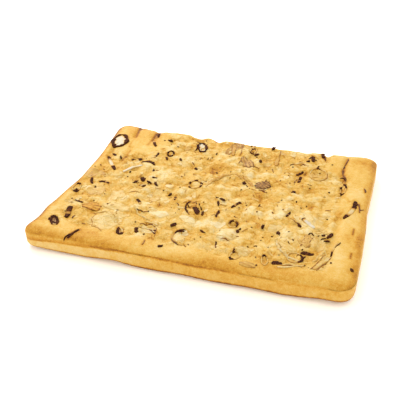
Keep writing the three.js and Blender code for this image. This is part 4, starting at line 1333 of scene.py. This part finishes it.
# %% Thin slices
# Each slice: x, y, half-axes, turn, tone inside and tone of the edge.
SLICES = [
    (-3, 120, 9, 21, -12, 0.68, 0.74), (-172, -2, 13, 12, 20, 0.52, 0.64),
    (-148, -42, 12, 13, 10, 0.44, 0.58), (-108, -106, 19, 15, 8, 0.3, 0.58),
    (-112, -104, 10, 7, -25, 0.2, 0.5), (-101, -101, 15, 10, 30, 0.26, 0.5),
    (-96, -88, 14, 7, 10, 0.3, 0.5), (-118, -46, 10, 14, 10, 0.28, 0.5), (-106, -70, 17, 8, 5, 0.26, 0.5),
    (-48, -72, 13, 6, 0, 0.06, 0.3), (-8, -110, 8, 10, 0, 0.22, 0.5), (45, -88, 13, 8, 0, 0.14, 0.4),
    (30, -72, 8, 6, 0, 0.0, 0.3), (-50, -107, 9, 4, -16, 0.2, 0.5), (126, 74, 7, 9, 0, 0.45, 0.65),
    (150, -76, 10, 14, 8, 0.36, 0.6), (118, -92, 13, 7, -20, 0.34, 0.55), (129, -36, 15, 9, -38, 0.22, 0.5),
    (-66, -38, 8, 8, 0, 0.42, 0.6), (72, -112, 10, 8, 10, 0.26, 0.5), (97, -60, 9, 7, 30, 0.3, 0.5),
    (150, -52, 8, 5, 60, 0.4, 0.6), (-10, -73, 11, 7, 0, 0.12, 0.4), (-168, -121, 8, 3.4, -54, 0.78, 0.95),
    (-80, -118, 4, 6, 5, 0.6, 0.9),
]
print(len(SLICES), "placed slices")


# %% Shape of a slice
# Rings of a slice: share of its radius, and height over the dough in mm. The edge is a low lip that dives.
SLICE_RINGS = [(0.0, 0.25), (0.35, 0.25), (0.65, 0.26), (0.84, 0.35), (0.93, 0.5), (0.985, 0.2), (1.02, -0.5)]
SLICE_SIDES = 32
# Waves of the outline: strength, how many to a turn, and how fast they shift from slice to slice.
SLICE_OUTLINE = [(0.12, 2, 1), (0.11, 3, 2), (0.07, 5, 3), (0.04, 9, 1)]


def slice_mesh(x, y, half_x, half_y, turn, inside, edge, number):
    angle = np.linspace(0, 2 * np.pi, SLICE_SIDES, endpoint=False)
    outline = 1 + sum(size * np.sin(waves * angle + shift * number) for size, waves, shift in SLICE_OUTLINE)
    radius, lift = np.repeat(SLICE_RINGS, SLICE_SIDES, axis=0).T
    around, outline = np.tile(angle, len(SLICE_RINGS)), np.tile(outline, len(SLICE_RINGS))
    off_x, off_y = radius * outline * half_x * np.cos(around), radius * outline * half_y * np.sin(around)
    at_x, at_y = turned(off_x, off_y, x, y, turn)
    height = skin_height(at_x, at_y) + lift
    # The browned edge comes and goes round the slice.
    broken = 0.5 + 0.5 * np.sin(2 * around + 1.7 * number) * np.cos(5 * around + number)
    rim = np.exp(-(((radius - 0.95) / 0.07) ** 2)) * (0.1 + 0.6 * broken)
    veins = 0.08 * np.sin(1.4 * off_y + 0.3 * off_x) + 0.1 * ripple(at_x, at_y, 5, 19)
    tone = inside + (edge - inside) * rim + veins
    points = np.stack([at_x, at_y, height], axis=1)
    return points, tone, np.zeros(len(tone)), band_faces(len(SLICE_RINGS), SLICE_SIDES)


print("lip of a slice stands over the dough, mm:", max(lift for _, lift in SLICE_RINGS))


# %% Small slices by draw
SMALL_SLICE_COUNT = 55
# A slice is kept only where the share of crust is less than this.
SLICE_CRUST_LIMIT = 0.4


def is_crumb(x, y, limit):
    return crust_share(*in_tray(np.array(x), np.array(y))) < limit


def small_slices():
    draw = np.random.default_rng(11)
    rows = []
    while len(rows) < SMALL_SLICE_COUNT:
        x, y = draw.uniform(-180, 172), draw.uniform(-135, 138)
        size, flat, turn = draw.uniform(2.5, 6.5), draw.uniform(0.4, 0.8), draw.uniform(0, 180)
        inside, edge = draw.uniform(0.15, 0.45), draw.uniform(0.45, 0.75)
        if is_crumb(x, y, SLICE_CRUST_LIMIT):
            rows.append((x, y, size, size * flat, turn, inside, edge))
    return rows


slice_meshes = [slice_mesh(*row, number) for number, row in enumerate(SLICES + small_slices())]
slice_piece = onion_piece("onion_thin_slices", slice_meshes, [SOFT_ONION, CHARRED_ONION])

# %% [markdown]
# ## Threads
# Torn edges of onion dry to threads a millimetre wide, amber to black. Each is a short bow between two
# places, swept as the ribbons are but thinner. Two draws add the many that are too small to place singly.

# %% Threads
# Each thread: start x and y, end x and y, bow to the side, width, tone (1 is char).
THREADS = [
    (-57.5, 108, -57.5, 100, 0, 1.8, 1), (-50, 62, -45, 58, 0, 1.2, 0.8), (-43, 80, -41, 70, 1, 1.2, 0.8),
    (-10, 50, -7, 42, 0, 1.5, 1), (-5, 125, 1, 98, 2, 1.2, 0.75), (3, 135, 10, 100, 2, 1.2, 0.7),
    (-24, 98, -24, 94, 0, 2.4, 1), (18, 131, 25, 139, 2, 2.2, 1), (21, 130, 21, 113, 0, 1.8, 0.8),
    (28, 128, 31, 114, 0, 1.4, 0.8), (14, 98, 14, 77, 1, 1.2, 0.8), (18, 90, 28, 72, 1, 1.2, 0.8),
    (28, 72, 38, 75, 0, 1.2, 0.8), (38, 75, 20, 97, 2, 1.2, 0.75), (62, 79, 66, 71, 0, 1.2, 0.8),
    (62, 130, 66, 112, 1, 1.4, 0.75), (95, 103, 102, 101, 2, 1.2, 0.8), (98, 97, 106, 92, 2, 1.2, 0.8),
    (101, 61, 99, 47, 0, 1.6, 0.8), (110, 120, 108, 110, 0, 2, 1), (124, 99.5, 124, 90.5, 0, 2.4, 0.95),
    (128, 92, 140, 74, 3, 1.2, 0.65), (140, 74, 130, 57, 3, 1.2, 0.65), (161, 130, 158, 110, 1, 1.6, 0.9),
    (158, 110, 159, 86, -1, 1.6, 0.9), (159, 86, 165, 70, 1, 1.6, 0.9), (156, 78, 159, 81, 0, 1.4, 1),
    (159, 81, 163, 75, 0, 1.4, 1), (162, 62, 168, 48, 2, 3, 1), (190, 55, 192, 46, 1, 1.8, 0.9),
    (-125, 18, -125, 13, 0, 2.6, 1), (-155, -31, -155, -36, 1, 3, 1), (-177, -43, -177, -51, 0, 3, 0.95),
    (-35, -44, -31, -48, 1, 1.2, 0.9), (-21, -41, -17, -45, 0, 1.4, 1), (-12, -33, -10, -37, 0, 1.4, 1),
    (-8, -35, -5, -40, 0, 1.4, 1), (-4, -41, -1, -45, 0, 1.4, 1), (38, 25, 42, 18, 1, 1.5, 1),
    (49, 33, 58, 20, 1, 1.4, 0.85), (58, 20, 67, 20, 0, 1.4, 0.85), (62, 45, 61, 38, 0, 1.2, 0.85),
    (58, 15, 70, 13, 1, 2.2, 0.85), (67.5, -14, 67.5, -23, 0, 2, 1), (8, -13, 11, -16, 0, 1.6, 1),
    (125, -33, 137, -46, 1, 1.2, 0.7), (137, -46, 143, -50, 0, 1.2, 0.75),
    (110, -36, 118, -42, 0, 1.2, 0.7), (118, -42, 125, -44, 1, 1.2, 0.75), (186, 15, 190, -3, 1, 1.6, 0.85),
    (190, 2, 195, 7, 0, 1.4, 0.85), (-149, -101, -149, -110, 0, 1.8, 0.85),
    (-128, -102, -118, -118, 2, 1.2, 0.6), (-118, -118, -100, -127, 2, 1.2, 0.6),
    (-78, -69, -70, -72, 1, 1.4, 0.95), (-70, -72, -63, -69, 0, 1.2, 0.75),
    (116, -127, 140, -122, -1, 2.6, 0.3), (116, -129, 141, -125, -1, 1.2, 0.8),
    (104, -83, 140, -115, -9, 3.4, 0.2), (-12, 4, 16, 46, 7, 4.0, 0.42), (16, 46, 48, 20, 6, 3.4, 0.45),
    (137, -49, 162, -62, 3, 3.0, 0.3), (126, -69, 140, -88, -3, 2.6, 0.35),
    (78, -107, 70, -124, 2, 2.4, 0.3), (-54, -86, -85, -62, 4, 2.6, 0.25),
    (-86, -106, -128, -88, -9, 2.2, 0.3), (161, -87, 150, -112, 2, 3.0, 0.32),
    (-64, -102, -38, -114, 5, 1.5, 0.88), (-64, -97, -41, -101, 4, 1.2, 0.8),
    (-40, -101, -38, -113, 1, 1.1, 0.75), (-17, -104, -3, -126, -5, 1.4, 0.88),
    (-17, -103, -5, -97, 1.5, 1.8, 1), (-81, -52, -78, -58, 0, 1.2, 0.85),
    (-176, -120, -169, -112, 0, 2.8, 1), (-168, -112, -158, -129, -1, 2.6, 1),
    (-176, -121, -160, -129, 2, 2.0, 0.95), (-139, -150, -134, -141, 1, 1.8, 1),
    (-134, -141, -127, -133, 0, 1.6, 1), (-58, -46, -56, -54, 1, 1.1, 0.7),
    (-104, -37, -90, -34, 1, 1.4, 0.65), (-128, -88, -126, -102, 2, 1.1, 0.55),
    (-44, -127, -44, -137, 1, 1.8, 0.8), (2, -121, 7, -128, 0, 1.4, 0.85), (35, -103, 37, -111, 1, 2, 1),
    (37, -111, 40, -119, 0, 1.6, 0.8), (40, -98, 52, -100, 2, 1.2, 0.75),
    (80, -101, 85, -103, 1, 1.6, 0.95), (61, -115, 61, -121, 0, 1.8, 1), (62, -132, 62, -137, 0, 2.6, 1),
    (138, -65, 141, -60, 1, 1.8, 1), (141, -60, 144, -64, 0, 1.8, 1), (134, -72, 132, -88, 1, 1.2, 0.8),
    (139, -70, 133, -88, 1, 1.2, 0.8), (144, -66, 142, -88, -1, 1.2, 0.8), (117, -82, 120, -87, 0, 1.8, 1),
    (121, -76, 123, -80, 0, 1.6, 0.95), (152, -67, 159, -66, 1, 1.8, 1), (132, -98, 131, -105, 1, 1.2, 0.8),
    (141, -102, 140, -110, 0, 2, 1), (140, -110, 134, -118, 1, 1.8, 1), (163, -96, 150, -127, 1, 1.3, 0.75),
    (170, -98, 157, -129, 1, 1.3, 0.75), (176, -71, 169, -82, 1, 1.4, 0.95),
    (169, -82, 168, -99, 1, 1.6, 0.95), (-12, 143, -4, 143, 0, 1.6, 0.9), (20, 139, 24, 131, 1, 1.6, 0.9),
    (-60, 130, -55, 118, 0, 2.2, 1), (-52, 126, -45, 114, 0, 2.2, 1), (50, 136, 55, 141, 0, 2.2, 1),
]
# Dots: x, y, length and tone.
DOTS = [
    (-27, 86, 2, 0.9), (38, 137, 2.4, 1), (26, 117, 2.4, 1), (90, 86, 2.6, 1), (109, 76, 2, 0.85),
    (88, 65, 2, 1), (27, 52, 2, 1), (10.5, 51, 2, 1), (117.5, 114, 2.4, 1), (130, 122, 2.4, 0.9),
    (128, 84, 1.8, 1), (159.5, 52, 2.6, 1), (163, 36, 2.6, 1), (-172, 20, 2.4, 0.8), (-177, 12, 2.4, 0.8),
    (-124, 4, 2, 1), (-178, -33, 2.6, 1), (-33, 29, 2, 0.85), (-52, 24, 2.4, 0.85), (-16, 21, 2, 0.85),
    (-43, -7, 2, 1), (-63, -17, 2, 1), (13, 37, 2, 1), (47.5, 25, 2.4, 1), (46, 15, 2, 1), (81, 44, 2, 1),
    (94, 45, 2, 1), (100, 45, 1.8, 1), (13, -17, 2, 1), (44, -30, 2, 0.85), (51.5, -22, 2, 0.85),
    (69, -37, 2.2, 0.85), (88, -33, 2.6, 0.85), (90, -17, 2, 0.85), (23, -60, 2, 0.9), (44, -50, 2, 0.9),
    (148, 36, 2.4, 1), (111, 1, 2.4, 1), (119, -11, 2.2, 1), (154, -25, 2.2, 1), (-140, -67, 2.4, 1),
    (-119, -70, 2.4, 1), (-63, -69, 2, 1), (-78, -69, 2, 1), (-70, -95, 2.2, 0.95), (-37.5, -112.5, 2.4, 1),
    (-13, -118, 2.6, 0.85), (17, -104, 2.2, 1), (58, -74.5, 2.8, 1), (70, -68, 2.4, 1), (87, -83, 2, 1),
    (86, -89, 2, 1), (35, -83, 2, 0.9), (97, -78, 2.4, 1), (74, -103, 2, 1), (93, -137, 2.4, 0.9),
    (134, -68, 2, 1), (112, -111, 2.4, 1), (143, -119, 2.6, 1), (136, -93, 2, 1), (171, -111, 2.6, 1),
]
print(len(THREADS), "threads,", len(DOTS), "dots")


# %% Shape of a thread
THREAD_SIDES = 6
THREAD_STEP = 1.0
# A thread with a tone above this is burnt right through.
CHAR_FROM = 0.93


def thread_mesh(from_x, from_y, to_x, to_y, bow, width, shade, number):
    span = math.hypot(to_x - from_x, to_y - from_y)
    share = np.linspace(0, 1, max(5, round(span / THREAD_STEP)))
    side_x, side_y = -(to_y - from_y) / span, (to_x - from_x) / span
    jag = ripple(share * span + 30.0 * number, 0 * share, 2.4, 17)
    off = 4 * bow * share * (1 - share) + 0.3 * width * jag
    x = from_x + (to_x - from_x) * share + off * side_x
    y = from_y + (to_y - from_y) * share + off * side_y
    lead = np.arctan2(np.gradient(y), np.gradient(x))
    half = (width / 2) * np.sqrt(1.02 - (2 * share - 1) ** 6) * (1 + 0.3 * jag)
    points = swept(x, y, lead, half, 0.55 * half + 0.12, skin_height(x, y) + 0.15, THREAD_SIDES)
    tone = np.repeat(shade + 0.08 * jag, THREAD_SIDES)
    faces = band_faces(len(x), THREAD_SIDES) + flat_ends(len(x), THREAD_SIDES)
    return points, tone, np.full(len(tone), float(shade > CHAR_FROM)), faces


def straight_thread(x, y, length, heading, bow, width, tone):
    """Ends of a thread that lies about a middle with a heading."""
    half_x, half_y = length * math.cos(heading) / 2, length * math.sin(heading) / 2
    return x - half_x, y - half_y, x + half_x, y + half_y, bow, width, tone


def dot_as_thread(x, y, length, tone):
    return straight_thread(x, y, length, math.pi * scatter(x, y, 9), 0.2, 0.8 * length, tone)


print("points of the first thread:", len(thread_mesh(*THREADS[0], 0)[0]))


# %% Small threads by draw
# How many, least and greatest tone.
SMALL_THREADS = [(130, 0.5, 0.8), (28, 0.9, 1.0)]
# A thread is kept only where the share of crust is less than this.
THREAD_CRUST_LIMIT = 0.35


def small_threads():
    draw = np.random.default_rng(23)
    rows = []
    for count, low, high in SMALL_THREADS:
        first = len(rows)
        while len(rows) < first + count:
            x, y = draw.uniform(-182, 176), draw.uniform(-138, 140)
            length, heading, bow = draw.uniform(1.6, 7.0), draw.uniform(0, math.pi), draw.uniform(-1, 1)
            width, shade = draw.uniform(0.7, 1.3), draw.uniform(low, high)
            if is_crumb(x, y, THREAD_CRUST_LIMIT):
                # The browner a thread is, the more of it burnt away.
                length *= 1.3 - 0.8 * smooth(0.6, 1.0, shade)
                rows.append(straight_thread(x, y, length, heading, bow, width, shade))
    return rows


all_threads = THREADS + [dot_as_thread(*dot) for dot in DOTS] + small_threads()
thread_meshes = [thread_mesh(*row, number) for number, row in enumerate(all_threads)]
thread_piece = onion_piece("onion_threads", thread_meshes, [ROAST_ONION, CHARRED_ONION])

# %% [markdown]
# ## Burnt flakes
# Small tips of onion burnt right through and broke up. Each is a rough chip, a ball pushed out of shape and
# flattened on the dough. The named ones are also on the solid; smaller ones are spread by the seeded rule.

# %% Flakes
# Each flake: x, y, heading, length and width.
FLAKES = [
    (-155, 50, -60, 9, 3.2), (-165.5, 53.5, -36, 12, 4), (-137, 53, 0, 9, 4), (-127, 55, -60, 7.5, 5.5),
    (-102.5, 115, -10, 9, 5.4), (-67, 62, -60, 7.5, 3.4), (-40, 50, -45, 6, 4), (43, 88, -75, 7.5, 4.6),
    (33, 111, 40, 9, 4), (52, 135, 80, 9, 5), (108, 105, 40, 6, 4), (-95, 28, -72, 10, 3.4),
    (-85, 7, -8, 8, 3), (-89, -3, -25, 9, 3), (-79.5, -4, -50, 12, 4), (-107.5, -8.5, -107, 12, 3.4),
    (-52, -21, 70, 9, 3.4), (-22, -90, 50, 9, 5.6), (-22, -134, 20, 6.5, 4), (35, 29.5, -70, 7, 5),
    (103, 23, -80, 8.5, 6.2), (19, -20, -22, 9, 3.6), (16, -28.5, -68, 11, 3), (124, -48, -55, 8.5, 4),
    (15.5, -92, -35, 9, 2.8), (55, -80, -100, 8, 4.6), (103, -70, -60, 7, 5), (82, -62, -90, 9, 3.6),
    (155.2, -61, -8, 5.4, 2.8), (160, -69.5, 8, 7, 2.8), (194, -116.5, -70, 6, 3.8),
    (3.4, -55, -84, 10, 3.2),
]
print(len(FLAKES), "placed flakes")


# %% Shape of a flake
FLAKE_RISE, FLAKE_SEAT, FLAKE_TONE = 1.1, 0.2, 0.9
FLAKE_RINGS, FLAKE_SIDES = 6, 9
SMALL_FLAKE_COUNT = 24


def flake_mesh(x, y, heading, size, number):
    levels = np.linspace(-1, 1, FLAKE_RINGS + 2)[1:-1]
    climb, angle = np.meshgrid(levels, np.arange(FLAKE_SIDES) / FLAKE_SIDES, indexing="ij")
    climb, angle = climb.ravel() * math.pi / 2, angle.ravel() * 2 * math.pi
    rough = 1 + 0.24 * np.sin(2 * angle + 3 * climb + number) + 0.18 * np.sin(5 * angle + 2 * number)
    flat = np.cos(climb) ** 0.5 * rough
    off_x, off_y = flat * np.cos(angle) * size[0], flat * np.sin(angle) * size[1]
    at_x, at_y = turned(off_x, off_y, x, y, heading)
    bed = float(skin_height(x, y)) + FLAKE_SEAT
    points = np.stack([at_x, at_y, bed + np.sin(climb) * size[2] * rough], axis=1)
    points = np.concatenate([points, [[x, y, bed + way * size[2]] for way in (-1, 1)]])
    faces = band_faces(FLAKE_RINGS, FLAKE_SIDES) + pole_fans(FLAKE_RINGS, FLAKE_SIDES)
    return points, np.full(len(points), FLAKE_TONE), np.ones(len(points)), faces


def small_flakes():
    draw = np.random.default_rng(7)
    rows = []
    while len(rows) < SMALL_FLAKE_COUNT:
        x, y = draw.uniform(-175, 160), draw.uniform(-115, 130)
        size = draw.uniform(0.5, 1.1)
        rows.append((x, y, draw.uniform(0, 180), (1.6 * size, 0.9 * size, 0.7 * size)))
    return rows


flakes = [(x, y, heading, (length / 2, width / 2, FLAKE_RISE)) for x, y, heading, length, width in FLAKES]
flakes += small_flakes()
flake_meshes = [flake_mesh(*flake, number) for number, flake in enumerate(flakes)]
flake_piece = onion_piece("burnt_flakes", flake_meshes, [ROAST_ONION, CHARRED_ONION])

# %% [markdown]
# ## Floor
# A plain near-white sheet, as in a product studio. Light that falls through bread and bounces off it makes
# the shadow beside it warm. More bounces would show that only after many samples, so the floor itself has a
# faint warm glow that is seen only where the lamp doesn't outshine it.

# %% Floor
FLOOR_REACH = 3.0
FLOOR_LOOK = {
    "Base Color": linear("#FDF8F1"), "Roughness": 0.9, "Specular IOR Level": 0.1,
    "Emission Color": linear("#FFE0AC"), "Emission Strength": 0.28,
}


def plain_floor():
    material = bpy.data.materials.new("plain_floor")
    material.use_nodes = True
    for label, value in FLOOR_LOOK.items():
        material.node_tree.nodes["Principled BSDF"].inputs[label].default_value = value
    corners = [(x * FLOOR_REACH, y * FLOOR_REACH, 0) for x, y in ((-1, -1), (1, -1), (1, 1), (-1, 1))]
    mesh = bpy.data.meshes.new("floor")
    mesh.from_pydata(corners, [], [[0, 1, 2, 3]])
    mesh.materials.append(material)
    floor = bpy.data.objects.new("floor", mesh)
    bpy.context.scene.collection.objects.link(floor)


plain_floor()
print("floor reaches", FLOOR_REACH, "m each way")

# %% [markdown]
# ## Light
# One broad lamp high at the back left gives the crumb its soft relief, and an even white surround fills the
# shadows. A small lamp would cut hard shadows beside every lump; three lamps would flatten them.

# %% Light
# Place and size in metres, power in watts.
LAMP_AT, LAMP_SIZE, LAMP_POWER = Vector((-0.85, 0.95, 1.15)), 0.8, 17.0
SURROUND = {"Color": (1.0, 1.0, 1.0, 1.0), "Strength": 1.36}


def soft_light():
    lamp_data = bpy.data.lights.new("broad_lamp", "AREA")
    lamp_data.energy = LAMP_POWER
    lamp_data.size = LAMP_SIZE
    lamp = bpy.data.objects.new("broad_lamp", lamp_data)
    lamp.location = LAMP_AT
    lamp.rotation_euler = (-LAMP_AT).to_track_quat("-Z", "Y").to_euler()
    bpy.context.scene.collection.objects.link(lamp)
    world = bpy.data.worlds.new("studio")
    world.use_nodes = True
    for label, value in SURROUND.items():
        world.node_tree.nodes["Background"].inputs[label].default_value = value
    bpy.context.scene.world = world
    bpy.context.scene.view_settings.view_transform = "Standard"


soft_light()
print("lamp distance, m:", round(LAMP_AT.length, 2))

# %% [markdown]
# ## Camera
# The camera looks down on the bread from the front right. Its angles and distance were worked out from
# where the four corners of the sheet stand in the picture. They could be set by eye, but then the outline
# would only nearly match.

# %% Camera
# Angles in degrees, distance and target in mm.
CAMERA_DOWN, CAMERA_SIDE, CAMERA_ROLL = 34.08, 18.19, 1.36
CAMERA_DISTANCE, CAMERA_TARGET = 816.3, Vector((-2.3, -7.1, 0.0))
FOCAL_LENGTH = 52.42


def photo_camera():
    down, side, roll = (math.radians(value) for value in (CAMERA_DOWN, CAMERA_SIDE, CAMERA_ROLL))
    ahead = Vector((-math.sin(side) * math.cos(down), math.cos(side) * math.cos(down), -math.sin(down)))
    level_right = ahead.cross(Vector((0, 0, 1))).normalized()
    level_up = level_right.cross(ahead)
    right = math.cos(roll) * level_right - math.sin(roll) * level_up
    up = math.sin(roll) * level_right + math.cos(roll) * level_up
    place = (CAMERA_TARGET - ahead * CAMERA_DISTANCE) * METRE
    camera_data = bpy.data.cameras.new("camera")
    camera_data.lens = FOCAL_LENGTH
    camera = bpy.data.objects.new("camera", camera_data)
    camera.matrix_world = Matrix.Translation(place) @ Matrix((right, up, -ahead)).transposed().to_4x4()
    bpy.context.scene.collection.objects.link(camera)
    bpy.context.scene.camera = camera


photo_camera()
print("camera height, mm:", round(math.sin(math.radians(CAMERA_DOWN)) * CAMERA_DISTANCE))
